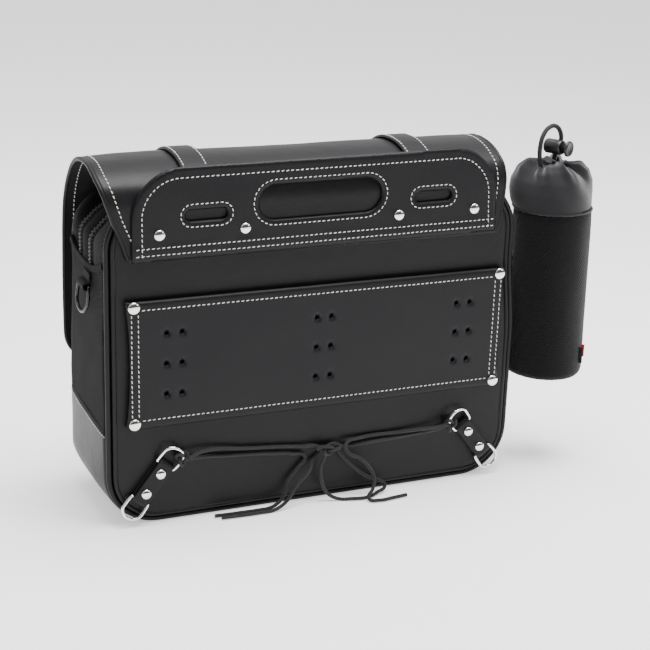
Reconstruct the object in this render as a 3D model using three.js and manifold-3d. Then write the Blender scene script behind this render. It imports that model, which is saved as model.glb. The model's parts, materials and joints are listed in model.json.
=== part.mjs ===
// Motorcycle side bag in synthetic leather: a zipped box with a roll-over flap, a handle plate,
// a mounting panel on its back and a drawstring bottle holder hung on its right end.
// Millimetres. +X runs to the bottle holder's end, -Y out of the mounting back, +Z up.
// The origin is the middle of the flat base, on the ground.
import * as THREE from "three";
import { mergeVertices } from "three/addons/utils/BufferGeometryUtils.js";
import Module from "manifold-3d";

const wasm = await Module();
wasm.setup();

// ---------------------------------------------------------------- driving dimensions
const GAP = 0.3; // clearance between pieces that touch on the real bag

const bag = {
  halfWidth: 214,
  height: 318,
  lowerCorner: 48,
  upperCorner: 44,
  backFace: -57,
  frontFace: 67.5,
  panel: 6, // padded leather panel
  pocket: 6,
  wall: 3, // gusset
  piping: 5.2,
  baseRise: 88, // height the leather base wraps up the sides
  foldHeight: 262, // the front folds out above this line
  lean: 20, // degrees that the folding part of the front leans back
};

const zip = { mainY: 30, expanderY: -6, width: 7.4, sliderStop: 120 };

const mountPanel = {
  halfWidth: 199,
  halfHeight: 62.5,
  centreZ: 163,
  back: -64,
  thickness: 6.7, // ends one gap behind the back panel
  corner: 7,
  rivetX: 188.8,
  rivetZ: 57,
  holePitchX: 150,
  holePairX: 15,
  holePitchZ: 30,
  hole: 2.1, // radius
};

const handlePlate = {
  halfWidth: 185.5,
  bottom: 263,
  top: 349,
  corner: 46,
  centreX: -4.5,
  back: -64.2,
  thickness: 3.4,
  rivetX: [160, 78],
  rivetZ: 288,
  handHole: { halfWidth: 62, halfHeight: 16.5, x: -2.5, z: 310 },
  strapSlot: { halfWidth: 20, halfHeight: 5.2, x: 115, z: 303.5 },
};

const flap = {
  left: -217,
  right: 191,
  backHalfWidth: 191,
  thickness: 3,
  hinge: [-33.5, 344.5], // Y and Z of the fold line
  hemZ: 131,
};

const strap = { places: { left: -124, right: 102 }, halfWidth: 13.5, thickness: 3, tipZ: 62 };

const buckle = { halfWidth: 17.5, top: 124, bottom: 94, wire: 1.9, cornerRadius: 5 };

const magnet = { radius: 9, z: 78, thickness: 3 };

const cornerTab = {
  centre: [171.4, 43.8], // X and Z
  angle: 52.5, // degrees above horizontal
  barReach: 20.5,
  halfWidth: 8.6,
  strip: 3,
  loop: 4.4,
  hole: 2.5,
  y: -61.7,
};

const dRing = { bar: 10.2, reach: 21, wire: 1.7, upperTilt: 12 };

// The holder hangs from the right tab, so that one is sewn on further back than the left one.
const sideTab = {
  places: { left: { y: -6, z: 227 }, right: { y: -20, z: 222 } },
  halfWidth: 11,
  height: 13,
  loop: 4.4,
  hole: 2.6,
};
const sideRing = { bar: 14, reach: 23, wire: 1.9 };

const holder = {
  x: 265.2,
  y: -32,
  bottom: 99,
  seam: 278,
  top: 322,
  lowerRadius: 41.2,
  upperRadius: 41,
  wall: 3,
  neck: 15,
};

const lock = { x: 261, z: 338.5, radius: 7.5, length: 20, turn: -62, travel: 4, button: 8 };

const cord = { lace: 3.6, draw: 4.6 };

// ---------------------------------------------------------------- materials
const finish = (color, roughness, metalness = 0) => () =>
  new THREE.MeshStandardMaterial({ color, roughness, metalness });
const leather = finish(0x252628, 0.45);
const textile = finish(0x1d1e20, 0.85);
const board = finish(0x3a3a3c, 0.7);
const nickel = finish(0xd8d8da, 0.18, 1);
const blackMetal = finish(0x18181a, 0.35, 1);
const blackPlastic = finish(0x1c1c1e, 0.4);
const lacing = finish(0x17181a, 0.8);

// ---------------------------------------------------------------- shape helpers
const degrees = THREE.MathUtils.degToRad;
const group = new THREE.Group();

function add(name, geometry, material) {
  const mesh = new THREE.Mesh(geometry, material());
  mesh.name = name;
  group.add(mesh);
  return mesh;
}

// Points of an arc, first and last included. Angles in degrees.
function arc(cx, cy, r, from, to, steps) {
  return Array.from({ length: steps + 1 }, (_, i) => {
    const a = degrees(from + ((to - from) * i) / steps);
    return new THREE.Vector2(cx + r * Math.cos(a), cy + r * Math.sin(a));
  });
}

// The bag's outline seen from behind (X, Z), moved inwards by an inset. It runs from the left
// side at height z, under the base or over the top, to the right side at height z.
function outline(inset, z, under) {
  const w = bag.halfWidth - inset;
  const low = inset;
  const high = bag.height - inset;
  const r = (under ? bag.lowerCorner : bag.upperCorner) - inset;
  const cz = under ? low + r : high - r;
  const sign = under ? 1 : -1;
  const left = arc(-w + r, cz, r, sign * 180, sign * 270, 7);
  const right = arc(w - r, cz, r, sign * 270, sign * 360, 7);
  return [new THREE.Vector2(-w, z), ...left, ...right, new THREE.Vector2(w, z)];
}

function fullOutline(inset) {
  const over = outline(inset, bag.height / 2, false).slice(1, -1);
  const under = outline(inset, bag.height / 2, true).slice(1, -1);
  return under.concat(over.reverse());
}

function stadium(x, z, halfWidth, halfHeight, steps = 6) {
  const run = halfWidth - halfHeight;
  return new THREE.Path([
    ...arc(x + run, z, halfHeight, -90, 90, steps),
    ...arc(x - run, z, halfHeight, 90, 270, steps),
  ]);
}

function circle(x, z, r, steps = 8) {
  return new THREE.Path(arc(x, z, r, 0, 360, steps).slice(0, -1));
}

const shapeOf = (points, holes = []) => {
  const shape = new THREE.Shape(points);
  shape.holes.push(...holes);
  return shape;
};

// A plate whose outline is drawn in X, Z and whose thickness runs from yBack to yFront.
function slab(shape, yBack, yFront) {
  const g = new THREE.ExtrudeGeometry(shape, { depth: yFront - yBack, bevelEnabled: false });
  return g.rotateX(Math.PI / 2).translate(0, yFront, 0);
}

// A bar whose section is drawn in Y, Z and which runs along X from xLeft to xRight.
function beam(shape, xLeft, xRight) {
  const g = new THREE.ExtrudeGeometry(shape, { depth: xRight - xLeft, bevelEnabled: false });
  const axes = new THREE.Matrix4().makeBasis(
    new THREE.Vector3(0, 1, 0),
    new THREE.Vector3(0, 0, 1),
    new THREE.Vector3(1, 0, 0),
  );
  return g.applyMatrix4(axes).translate(xLeft, 0, 0);
}

// A solid of revolution about the Z axis from closed profile points [radius, z].
function turned(profile, steps = 16) {
  const points = profile.map(([r, z]) => new THREE.Vector2(r, z));
  return new THREE.LatheGeometry(points, steps).rotateX(Math.PI / 2);
}

// A closed solid between four edge lines that run side by side, each with as many points.
function ribbon(lines) {
  const n = lines[0].length;
  const position = lines.flat().flatMap((p) => [p.x, p.y, p.z]);
  const index = [];
  for (let k = 0; k < 4; k++) {
    const a = k * n;
    const b = ((k + 1) % 4) * n;
    for (let i = 0; i < n - 1; i++) {
      index.push(a + i, b + i + 1, b + i, a + i, a + i + 1, b + i + 1);
    }
  }
  const end = n - 1;
  index.push(0, n, 2 * n, 0, 2 * n, 3 * n);
  index.push(end, 2 * n + end, n + end, end, 3 * n + end, 2 * n + end);
  const g = new THREE.BufferGeometry();
  g.setAttribute("position", new THREE.Float32BufferAttribute(position, 3));
  g.setIndex(index);
  return g;
}

// The section of a sheet that follows a Y, Z curve between two fractions of its length. The sheet
// starts at an offset from the curve and grows inwards, to the right of the way the curve runs.
function sheetSection(curve, [from, to], thickness, offset, steps) {
  const outer = [];
  const inner = [];
  for (let i = 0; i <= steps; i++) {
    const t = from + ((to - from) * i) / steps;
    const p = curve.getPointAt(t);
    const tangent = curve.getTangentAt(t);
    const inward = new THREE.Vector2(tangent.y, -tangent.x);
    outer.push(p.clone().addScaledVector(inward, offset));
    inner.push(p.clone().addScaledVector(inward, offset + thickness));
  }
  return shapeOf(outer.concat(inner.reverse()));
}

// The fraction of a curve's length at which it passes closest to a point.
function fractionNear(curve, [y, z]) {
  const target = new THREE.Vector2(y, z);
  const tries = Array.from({ length: 1001 }, (_, i) => i / 1000);
  const distance = (t) => curve.getPointAt(t).distanceTo(target);
  return tries.reduce((best, t) => (distance(t) < distance(best) ? t : best));
}

// A closed wire along a smooth loop.
function wireLoop(points, radius, steps, sides = 6) {
  const curve = new THREE.CatmullRomCurve3(points, true, "centripetal");
  return new THREE.TubeGeometry(curve, steps, radius, sides, true);
}

// A round cord along a smooth open route of [x, y, z] points.
function cordAlong(route, diameter, step) {
  const path = new THREE.CatmullRomCurve3(route.map((p) => new THREE.Vector3(...p)), false, "centripetal");
  const steps = Math.round(path.getLength() / step);
  const section = new THREE.Shape(arc(0, 0, diameter / 2, 0, 360, 8).slice(0, -1));
  return new THREE.ExtrudeGeometry(section, { steps, extrudePath: path });
}

function toSolid(geometry) {
  const g = geometry.clone();
  g.deleteAttribute("normal");
  g.deleteAttribute("uv");
  const merged = mergeVertices(g, 1e-4);
  const mesh = new wasm.Mesh({
    numProp: 3,
    vertProperties: merged.attributes.position.array,
    triVerts: new Uint32Array(merged.index.array),
  });
  return new wasm.Manifold(mesh);
}

function toGeometry(solid) {
  const mesh = solid.getMesh();
  const g = new THREE.BufferGeometry();
  g.setAttribute("position", new THREE.BufferAttribute(mesh.vertProperties, 3));
  g.setIndex(new THREE.BufferAttribute(mesh.triVerts, 1));
  return g;
}

const cut = (geometry, tool) => toGeometry(toSolid(geometry).subtract(toSolid(tool)));
const join = (a, b) => toGeometry(toSolid(a).add(toSolid(b)));

// ---------------------------------------------------------------- box of the bag
const innerBack = bag.backFace + bag.panel;
const gussetBack = innerBack + GAP;
const gussetFront = bag.frontFace - 2 * bag.piping;
const panelInset = bag.piping + GAP;
const sideTop = bag.foldHeight - GAP;

// The holes for the mounting bolts: three groups of two columns by three rows.
function boltHoles() {
  const { holePitchX, holePairX, holePitchZ, centreZ, hole } = mountPanel;
  const holes = [];
  for (const g of [-1, 0, 1]) {
    for (const c of [-0.5, 0.5]) {
      for (const r of [-1, 0, 1]) {
        holes.push(circle(g * holePitchX + c * holePairX, centreZ + r * holePitchZ, hole));
      }
    }
  }
  return holes;
}

function band(insetOuter, insetInner, z, under) {
  return shapeOf(outline(insetOuter, z, under).concat(outline(insetInner, z, under).reverse()));
}

function bodyPanels() {
  const back = shapeOf(fullOutline(panelInset), boltHoles());
  add("back_panel", slab(back, bag.backFace, innerBack), leather);

  const stiffener = shapeOf(fullOutline(bag.wall + 8), boltHoles());
  add("back_board", slab(stiffener, innerBack + GAP, innerBack + GAP + 2), board);

  const lower = outline(panelInset, sideTop, true);
  const frontBack = bag.frontFace - bag.panel;
  add("front_panel", slab(shapeOf(lower), frontBack, bag.frontFace), leather);

  const pocket = [
    ...arc(-150, 40, 18, 180, 270, 4),
    ...arc(150, 40, 18, 270, 360, 4),
    new THREE.Vector2(168, 214),
    new THREE.Vector2(-168, 214),
  ];
  add("front_pocket", slab(shapeOf(pocket), bag.frontFace + GAP, bag.frontFace + bag.pocket), leather);

  const base = new THREE.BoxGeometry(330, 88, 2);
  add("base_board", base.translate(0, 3, bag.wall + GAP + 1), board);
}

function gussets() {
  const base = band(0, bag.wall, bag.baseRise, true);
  add("base_gusset", slab(base, gussetBack, gussetFront), leather);
  const height = sideTop - bag.baseRise - GAP;
  const depth = gussetFront - gussetBack;
  for (const [name, side] of [["left", -1], ["right", 1]]) {
    const wall = new THREE.BoxGeometry(bag.wall, depth, height);
    wall.translate(
      side * (bag.halfWidth - bag.wall / 2),
      (gussetBack + gussetFront) / 2,
      bag.baseRise + GAP + height / 2,
    );
    add(`side_gusset_${name}`, wall, textile);
  }
  const arch = band(0, bag.wall, bag.foldHeight, false);
  const zipBack = zip.expanderY - zip.width / 2;
  const zipFront = zip.expanderY + zip.width / 2;
  add("top_gusset_rear", slab(arch, gussetBack + 2.3 + GAP, zipBack - GAP), textile);
  add("expander_zip", slab(arch, zipBack, zipFront), textile);
  add("top_gusset_middle", slab(arch, zipFront + GAP, zip.mainY - GAP), textile);
}

function piping() {
  const ring = shapeOf(fullOutline(0), [new THREE.Path(fullOutline(bag.piping))]);
  add("back_piping", slab(ring, bag.backFace + 1, gussetBack - GAP), leather);
  const lower = band(0, bag.piping, sideTop, true);
  add("front_piping", slab(lower, gussetFront + GAP, bag.frontFace - 4), leather);
}

// The part of the front above the fold line, which leans back and opens forwards with the zip.
const foldAxis = [bag.frontFace + GAP, bag.foldHeight];

function leaned(x, y, z) {
  const a = degrees(bag.lean);
  const dy = y - foldAxis[0];
  const dz = z - foldAxis[1];
  return new THREE.Vector3(
    x,
    foldAxis[0] + dy * Math.cos(a) - dz * Math.sin(a),
    foldAxis[1] + dy * Math.sin(a) + dz * Math.cos(a),
  );
}

// A line of the arch at depth y. It leans with the front only if asked to.
function archLine(inset, y, lean) {
  return outline(inset, bag.foldHeight, false).map((p) => {
    if (!lean) return new THREE.Vector3(p.x, y, p.y);
    const q = leaned(p.x, y, p.y);
    return new THREE.Vector3(q.x, q.y, Math.max(q.z, bag.foldHeight));
  });
}

function foldingFront() {
  const upper = outline(panelInset, bag.foldHeight, false);
  const plate = slab(shapeOf(upper), bag.frontFace - bag.panel, bag.frontFace);
  plate.translate(0, -foldAxis[0], -foldAxis[1]);
  plate.rotateX(degrees(bag.lean));
  plate.translate(0, ...foldAxis);
  const belowFold = new THREE.BoxGeometry(500, 200, 100).translate(0, 40, bag.foldHeight - 50);
  add("front_top_panel", cut(plate, belowFold), leather);

  const front = gussetFront;
  const edge = [
    archLine(0, zip.mainY + GAP, false),
    archLine(0, front, true),
    archLine(bag.wall, front, true),
    archLine(bag.wall, zip.mainY + GAP, false),
  ];
  add("front_top_gusset", ribbon(edge), textile);

  const bead = [
    archLine(0, front + GAP, true),
    archLine(0, bag.frontFace - 4, true),
    archLine(bag.piping, bag.frontFace - 4, true),
    archLine(bag.piping, front + GAP, true),
  ];
  add("front_top_piping", ribbon(bead), leather);
}

// ---------------------------------------------------------------- zip sliders
function sliders() {
  const body = [
    new THREE.Vector2(-4.2, 0),
    new THREE.Vector2(4.2, 0),
    new THREE.Vector2(3.4, 2.4),
    new THREE.Vector2(1.2, 3.6),
    new THREE.Vector2(-1.2, 3.6),
    new THREE.Vector2(-3.4, 2.4),
  ];
  for (const [name, y, x] of [
    ["main_zip_slider", zip.mainY, zip.sliderStop],
    ["expander_zip_slider", zip.expanderY, -zip.sliderStop],
  ]) {
    const slider = beam(shapeOf(body), x - 6, x + 6);
    add(name, slider.translate(0, y, bag.height + GAP), blackMetal);
  }
}

// ---------------------------------------------------------------- rivets, mounting panel, handle plate
// A domed rivet: head on the -Y side, shank towards +Y. Its origin is under the head.
function rivet(headRadius, headHeight, shankRadius, shank) {
  const profile = [
    [0, -shank],
    [shankRadius, -shank],
    [shankRadius, 0],
    [headRadius, 0],
    [headRadius * 0.9, headHeight * 0.55],
    [headRadius * 0.5, headHeight * 0.93],
    [0, headHeight],
  ];
  return turned(profile, 12).rotateX(Math.PI / 2);
}

function mountingPanel() {
  const { halfWidth, halfHeight, centreZ, corner, rivetX, rivetZ, back, thickness } = mountPanel;
  const w = halfWidth - corner;
  const h = halfHeight - corner;
  const edge = [
    ...arc(-w, centreZ - h, corner, 180, 270, 3),
    ...arc(w, centreZ - h, corner, 270, 360, 3),
    ...arc(w, centreZ + h, corner, 0, 90, 3),
    ...arc(-w, centreZ + h, corner, 90, 180, 3),
  ];
  const corners = [
    ["upper_left", -rivetX, centreZ + rivetZ],
    ["lower_left", -rivetX, centreZ - rivetZ],
    ["upper_right", rivetX, centreZ + rivetZ],
    ["lower_right", rivetX, centreZ - rivetZ],
  ];
  const holes = boltHoles().concat(corners.map(([, x, z]) => circle(x, z, 2.4)));
  add("mount_panel", slab(shapeOf(edge, holes), back, back + thickness), leather);
  for (const [name, x, z] of corners) {
    const g = rivet(5.8, 2.8, 2, thickness).translate(x, back - GAP, z);
    add(`mount_rivet_${name}`, g, nickel);
  }
}

function handle() {
  const { halfWidth, bottom, top, corner, centreX, back, thickness } = handlePlate;
  const { rivetX, rivetZ, handHole, strapSlot } = handlePlate;
  const edge = [
    new THREE.Vector2(-halfWidth, bottom),
    new THREE.Vector2(halfWidth, bottom),
    ...arc(halfWidth - corner, top - corner, corner, 0, 90, 6),
    ...arc(-halfWidth + corner, top - corner, corner, 90, 180, 6),
  ];
  const rivets = rivetX.flatMap((x) => [-x, x]);
  const holes = [
    stadium(handHole.x, handHole.z, handHole.halfWidth, handHole.halfHeight),
    stadium(-strapSlot.x, strapSlot.z, strapSlot.halfWidth, strapSlot.halfHeight, 4),
    stadium(strapSlot.x, strapSlot.z, strapSlot.halfWidth, strapSlot.halfHeight, 4),
    ...rivets.map((x) => circle(x, rivetZ, 2.4)),
  ];
  const plate = slab(shapeOf(edge, holes), back, back + thickness);
  add("handle_plate", plate.translate(centreX, 0, 0), leather);
  const names = ["outer_left", "outer_right", "inner_left", "inner_right"];
  rivets.forEach((x, i) => {
    const g = rivet(5.2, 2.8, 2, thickness).translate(centreX + x, back - GAP, rivetZ);
    add(`plate_rivet_${names[i]}`, g, nickel);
  });
}

// ---------------------------------------------------------------- flap, straps, closures
// Outer line of the flap in Y, Z: up behind the handle plate, over the top, down the front, and
// on past the lower edge for the strap ends.
const flapLine = new THREE.SplineCurve(
  [
    [-60.3, 261],
    [-60.3, 282],
    [-60.3, 301],
    [-60.2, 316],
    [-55.5, 330],
    [-46, 338.5],
    flap.hinge,
    [-19, 348.4],
    [-2, 349.6],
    [16, 348],
    [33, 342],
    [48, 330],
    [62, 312],
    [73, 290],
    [79, 262],
    [82, 225],
    [83, 180],
    [83, 160],
    [82, 130],
    [81, 110],
    [81, strap.tipZ],
  ].map(([y, z]) => new THREE.Vector2(y, z)),
);
const strapFace = 81; // Y of the strap's back where it hangs below the flap

function flapPieces() {
  const hinge = fractionNear(flapLine, flap.hinge);
  const hem = fractionNear(flapLine, [82, flap.hemZ]);
  const play = GAP / flapLine.getLength();
  const back = sheetSection(flapLine, [0, hinge - play], flap.thickness, 0, 14);
  add("flap_back", beam(back, -flap.backHalfWidth, flap.backHalfWidth), leather);
  const cover = sheetSection(flapLine, [hinge, hem], flap.thickness, 0, 26);
  add("flap_cover", beam(cover, flap.left, flap.right), leather);
}

// Each strap lies on the flap, crosses its lower edge and ends in a tip over a magnet.
function strapPieces() {
  const start = fractionNear(flapLine, [-12, 349]);
  const offset = -strap.thickness - GAP;
  const section = sheetSection(flapLine, [start, 1], strap.thickness, offset, 30);
  const pocketFace = bag.frontFace + bag.pocket;
  for (const [name, x] of Object.entries(strap.places)) {
    add(`strap_${name}`, beam(section, x - strap.halfWidth, x + strap.halfWidth), leather);

    const disc = (from, to) =>
      turned([[0, from], [magnet.radius, from], [magnet.radius, to], [0, to]])
        .rotateX(-Math.PI / 2)
        .translate(x, 0, magnet.z);
    const seat = strapFace - magnet.thickness;
    add(`magnet_${name}`, disc(seat, strapFace), blackMetal);
    add(`magnet_base_${name}`, disc(pocketFace + GAP, seat - GAP), blackMetal);
  }
}

function buckles() {
  const { halfWidth, top, bottom, wire, cornerRadius } = buckle;
  const prongLength = top - bottom - wire + 3;
  const y = strapFace + strap.thickness + 4 * GAP + wire;
  for (const [name, x] of Object.entries(strap.places)) {
    const w = halfWidth - cornerRadius;
    const loop = [
      ...arc(w, top - cornerRadius, cornerRadius, 0, 90, 2),
      ...[0.8, 0, -0.8].map((k) => new THREE.Vector2(k * w, top)),
      ...arc(-w, top - cornerRadius, cornerRadius, 90, 180, 2),
      ...arc(-w, bottom + cornerRadius, cornerRadius, 180, 270, 2),
      ...[-0.8, 0, 0.8].map((k) => new THREE.Vector2(k * w, bottom)),
      ...arc(w, bottom + cornerRadius, cornerRadius, 270, 360, 2),
    ].map((p) => new THREE.Vector3(x + p.x, y, p.y));
    add(`buckle_frame_${name}`, wireLoop(loop, wire, 36), nickel);

    const prong = new THREE.CylinderGeometry(1.6, 1.2, prongLength, 8);
    prong.rotateX(Math.PI / 2);
    const lift = Math.atan2(2 * wire, top - bottom);
    prong.translate(0, 0, -prongLength / 2 - wire - GAP);
    prong.rotateX(lift + 0.04);
    add(`buckle_prong_${name}`, prong.translate(x, y + wire * 0.2, top), nickel);
  }
}

// ---------------------------------------------------------------- D-rings and their tabs
// A D-ring's centre line in u, v: a straight bar along v on u = 0 and a round end at u = reach.
function dLoop(bar, reach, toSpace) {
  const r = bar * 1.12;
  const bend = arc(reach - r, 0, r, 70, -70, 6).map((p) => [p.x, p.y]);
  const straight = [-1, -0.9, 0, 0.9, 1].map((k) => [0, k * bar]);
  return straight.concat(bend).map(([u, v]) => toSpace(u, v));
}

// A strap tab on the Y side of the back panel with a looped end at each side of its middle.
function cornerTabSection() {
  const { barReach, loop, hole, y, strip } = cornerTab;
  const foot = bag.backFace - GAP;
  const ends = [1, -1].map((s) => {
    const lobe = arc(s * barReach, y, loop, 0, 360, 14).slice(0, -1);
    return shapeOf(lobe, [circle(s * barReach, y, hole, 10)]);
  });
  const middle = shapeOf([
    new THREE.Vector2(-barReach + hole, foot - strip),
    new THREE.Vector2(barReach - hole, foot - strip),
    new THREE.Vector2(barReach - hole, foot),
    new THREE.Vector2(-barReach + hole, foot),
  ]);
  return [middle, ...ends];
}

// Axes of a corner: u from the bag's lower corner towards its middle, v across the strap tab.
function cornerAxes(side) {
  const a = degrees(cornerTab.angle);
  const u = new THREE.Vector3(-side * Math.cos(a), 0, Math.sin(a));
  const v = new THREE.Vector3(side * Math.sin(a), 0, Math.cos(a));
  const centre = new THREE.Vector3(side * cornerTab.centre[0], 0, cornerTab.centre[1]);
  return { u, v, centre };
}

function cornerTabs() {
  const y = new THREE.Vector3(0, 1, 0);
  for (const [name, side] of [["left", -1], ["right", 1]]) {
    const { u, centre } = cornerAxes(side);
    const across = new THREE.Vector3().crossVectors(u, y);
    const axes = new THREE.Matrix4().makeBasis(u, y, across);
    const width = 2 * cornerTab.halfWidth;
    const pieces = cornerTabSection().map((shape) => {
      const g = new THREE.ExtrudeGeometry(shape, { depth: width, bevelEnabled: false });
      return g.translate(0, 0, -width / 2).applyMatrix4(axes).translate(centre.x, 0, centre.z);
    });
    add(`corner_tab_${name}`, pieces.reduce(join), leather);
  }
}

function cornerRings() {
  for (const [name, side] of [["left", -1], ["right", 1]]) {
    const { u, v, centre } = cornerAxes(side);
    for (const [level, way, tilt] of [["upper", 1, dRing.upperTilt], ["lower", -1, 0]]) {
      const bar = centre.clone().addScaledVector(u, way * cornerTab.barReach).setY(cornerTab.y);
      const out = u.clone().multiplyScalar(way * Math.cos(degrees(tilt)));
      out.y = -Math.sin(degrees(tilt));
      const loop = dLoop(dRing.bar, dRing.reach, (a, b) =>
        bar.clone().addScaledVector(out, a).addScaledVector(v, b),
      );
      add(`corner_ring_${level}_${name}`, wireLoop(loop, dRing.wire, 28), nickel);
    }
  }
}

function sideHardware() {
  const { places, halfWidth, height, loop, hole } = sideTab;
  for (const [name, side] of [["left", -1], ["right", 1]]) {
    const { y, z } = places[name];
    // The tab's section in X, Z: a strip up the side with the ring's bar held in its lower fold.
    const face = bag.halfWidth + GAP;
    const x = side * (face + loop);
    const eye = shapeOf(arc(x, z, loop, 0, 360, 14).slice(0, -1), [circle(x, z, hole, 10)]);
    const strip = shapeOf([
      new THREE.Vector2(side * face, z + hole),
      new THREE.Vector2(side * (face + 3), z + hole),
      new THREE.Vector2(side * (face + 3), z + height),
      new THREE.Vector2(side * face, z + height),
    ]);
    const ends = [y - halfWidth, y + halfWidth];
    add(`side_tab_${name}`, join(slab(eye, ...ends), slab(strip, ...ends)), textile);

    const ring = dLoop(sideRing.bar, sideRing.reach, (a, b) => new THREE.Vector3(x, y + b, z - a));
    add(`side_ring_${name}`, wireLoop(ring, sideRing.wire, 30), blackMetal);
  }
}

// ---------------------------------------------------------------- bottle holder
function holderPieces() {
  const { x, y, bottom, seam, top, lowerRadius, upperRadius, wall, neck } = holder;
  const cup = turned(
    [
      [0, bottom],
      [lowerRadius - 3, bottom],
      [lowerRadius, bottom + 4],
      [upperRadius, seam - GAP],
      [upperRadius - wall, seam - GAP],
      [lowerRadius - wall, bottom + wall + 2],
      [0, bottom + wall + 2],
    ],
    28,
  );
  add("holder_cup", cup.translate(x, y, 0), textile);

  // The collar is drawn shut by its cord, apart from a small neck.
  const skin = 2.4;
  const collarLine = [
    [upperRadius + 0.5, seam],
    [upperRadius, seam + 14],
    [upperRadius * 0.86, seam + 26],
    [upperRadius * 0.6, seam + 34],
    [neck, top],
  ];
  const inside = collarLine.map(([r, z]) => [r - skin, z - (r < upperRadius - 1 ? skin : 0)]);
  inside[inside.length - 1] = [neck - 1, top - skin];
  const collar = turned(collarLine.concat(inside.reverse(), [collarLine[0]]), 28);
  add("holder_collar", collar.translate(x, y, 0), textile);

  // A webbing loop through the right side ring, sewn to the cup.
  const ringX = bag.halfWidth + GAP + sideTab.loop;
  const tab = sideTab.places.right;
  const foot = tab.z - sideRing.reach;
  const outer = [
    new THREE.Vector2(ringX - 4, foot - 20),
    new THREE.Vector2(ringX + 5, foot - 20),
    new THREE.Vector2(ringX + 5, foot - 6),
    ...arc(ringX, foot + 4, 4, 0, 180, 5),
  ];
  const inner = [
    new THREE.Vector2(ringX - 2.4, foot - 16),
    new THREE.Vector2(ringX + 2.4, foot - 16),
    ...arc(ringX, foot + 3.6, 2.4, 0, 180, 5),
  ];
  const hanger = slab(shapeOf(outer, [new THREE.Path(inner)]), tab.y - 8, tab.y + 8);
  add("holder_hanger", hanger, textile);
}

// The toggle on the drawcord: a barrel with a cross hole and a sprung button in its bore.
function cordLock() {
  const { radius, length, travel, button } = lock;
  const bore = radius - 1.8;
  const half = length / 2;
  const place = (g) =>
    g.rotateY(Math.PI / 2).rotateZ(degrees(lock.turn)).translate(lock.x, holder.y, lock.z);
  const shell = turned(
    [
      [0, -half],
      [radius - 1, -half],
      [radius, -half + 1],
      [radius, half],
      [bore, half],
      [bore, -half + 2],
      [0, -half + 2],
    ],
    16,
  );
  const hole = new THREE.CylinderGeometry(2.6, 2.6, 4 * radius, 10).rotateZ(Math.PI / 2);
  add("cord_lock_barrel", place(cut(shell, hole)), blackPlastic);

  const stem = bore - GAP;
  const plunger = turned(
    [
      [0, -half + 2 + travel + 1],
      [stem, -half + 2 + travel + 1],
      [stem, half + travel + GAP],
      [button, half + travel + GAP],
      [button, half + travel + 3],
      [button - 1, half + travel + 4],
      [0, half + travel + 4],
    ],
    16,
  );
  const slot = new THREE.BoxGeometry(4 * radius, 5.2, 5.2 + travel).translate(0, 0, travel / 2);
  add("cord_lock_button", place(cut(plunger, slot)), blackPlastic);
}

// ---------------------------------------------------------------- cords
// The drawcord stands up in a loop between the collar and the toggle.
const drawcordRoute = [
  [242.5, -39, 319],
  [239.5, -40.5, 331],
  [239.5, -40.5, 343],
  [243, -38.5, 354],
  [250, -35, 359],
  [257.5, -32.5, 356.5],
  [lock.x, holder.y, 346],
  [lock.x, holder.y, 336],
  [lock.x, holder.y, 325],
];

// The lacing: two doubled cords from the upper corner rings, tied in a bow between them.
const lacingRoutes = {
  lace_left_loop: [
    [-137.5, -69, 67.5],
    [-124, -66, 71],
    [-74, -62, 66],
    [-21, -62, 60.5],
    [0, -64, 57],
    [3, -66.5, 50],
    [-1, -68, 38],
    [0, -69, 24],
    [6, -69, 10],
    [17, -71, 2.6],
    [32, -76, 2.3],
    [47, -77.5, 2.3],
    [61, -71.5, 3.2],
    [71, -67, 7.5],
    [66, -65.5, 12.5],
    [52, -65, 19],
    [38, -64.5, 30],
    [26, -64, 42],
    [19, -63.5, 51],
  ],
  lace_left_tail: [
    [-138, -61.3, 63],
    [-124, -61.2, 63.5],
    [-74, -61.2, 59.5],
    [-30, -61.2, 54],
    [-16, -61.5, 49],
    [-24, -62, 37],
    [-34, -63, 25],
    [-39, -65.5, 11],
    [-50, -68, 3.4],
    [-68, -69.5, 2.3],
    [-90, -69, 2.3],
    [-111, -68, 2.3],
  ],
  lace_right_tail: [
    [138.5, -69, 65.5],
    [127, -66, 63],
    [88, -62, 61.5],
    [42, -62, 61],
    [26, -66, 58],
    [27, -69.5, 51],
    [40, -71.5, 43],
    [51, -71.5, 31],
    [56, -72.5, 20],
    [53, -77, 11],
    [46, -84, 3.4],
    [55, -88, 2.4],
    [71, -87, 2.3],
    [87, -85, 2.3],
  ],
  lace_right_end: [
    [139.5, -61.3, 60],
    [125, -61.2, 58],
    [88, -61.2, 56],
    [38, -61.5, 54],
    [12, -60.2, 54],
    [-6, -61, 46],
    [-12, -67, 37],
    [-27, -69, 22],
    [-37, -72, 9.5],
    [-50, -74.5, 2.8],
    [-68, -75.5, 2.3],
    [-88, -75, 2.3],
    [-106, -74, 2.3],
  ],
};

function cords() {
  add("drawcord", cordAlong(drawcordRoute, cord.draw, 5), lacing);
  for (const [name, route] of Object.entries(lacingRoutes)) {
    add(name, cordAlong(route, cord.lace, 12), lacing);
  }
}

bodyPanels();
gussets();
piping();
foldingFront();
sliders();
mountingPanel();
handle();
flapPieces();
strapPieces();
buckles();
cornerTabs();
cornerRings();
sideHardware();
holderPieces();
cordLock();
cords();

export default group;
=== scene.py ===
import json
import math

import bmesh
import bpy
import numpy as np
from mathutils import Matrix, Vector
from mathutils.geometry import delaunay_2d_cdt
from mathutils.noise import noise

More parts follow.
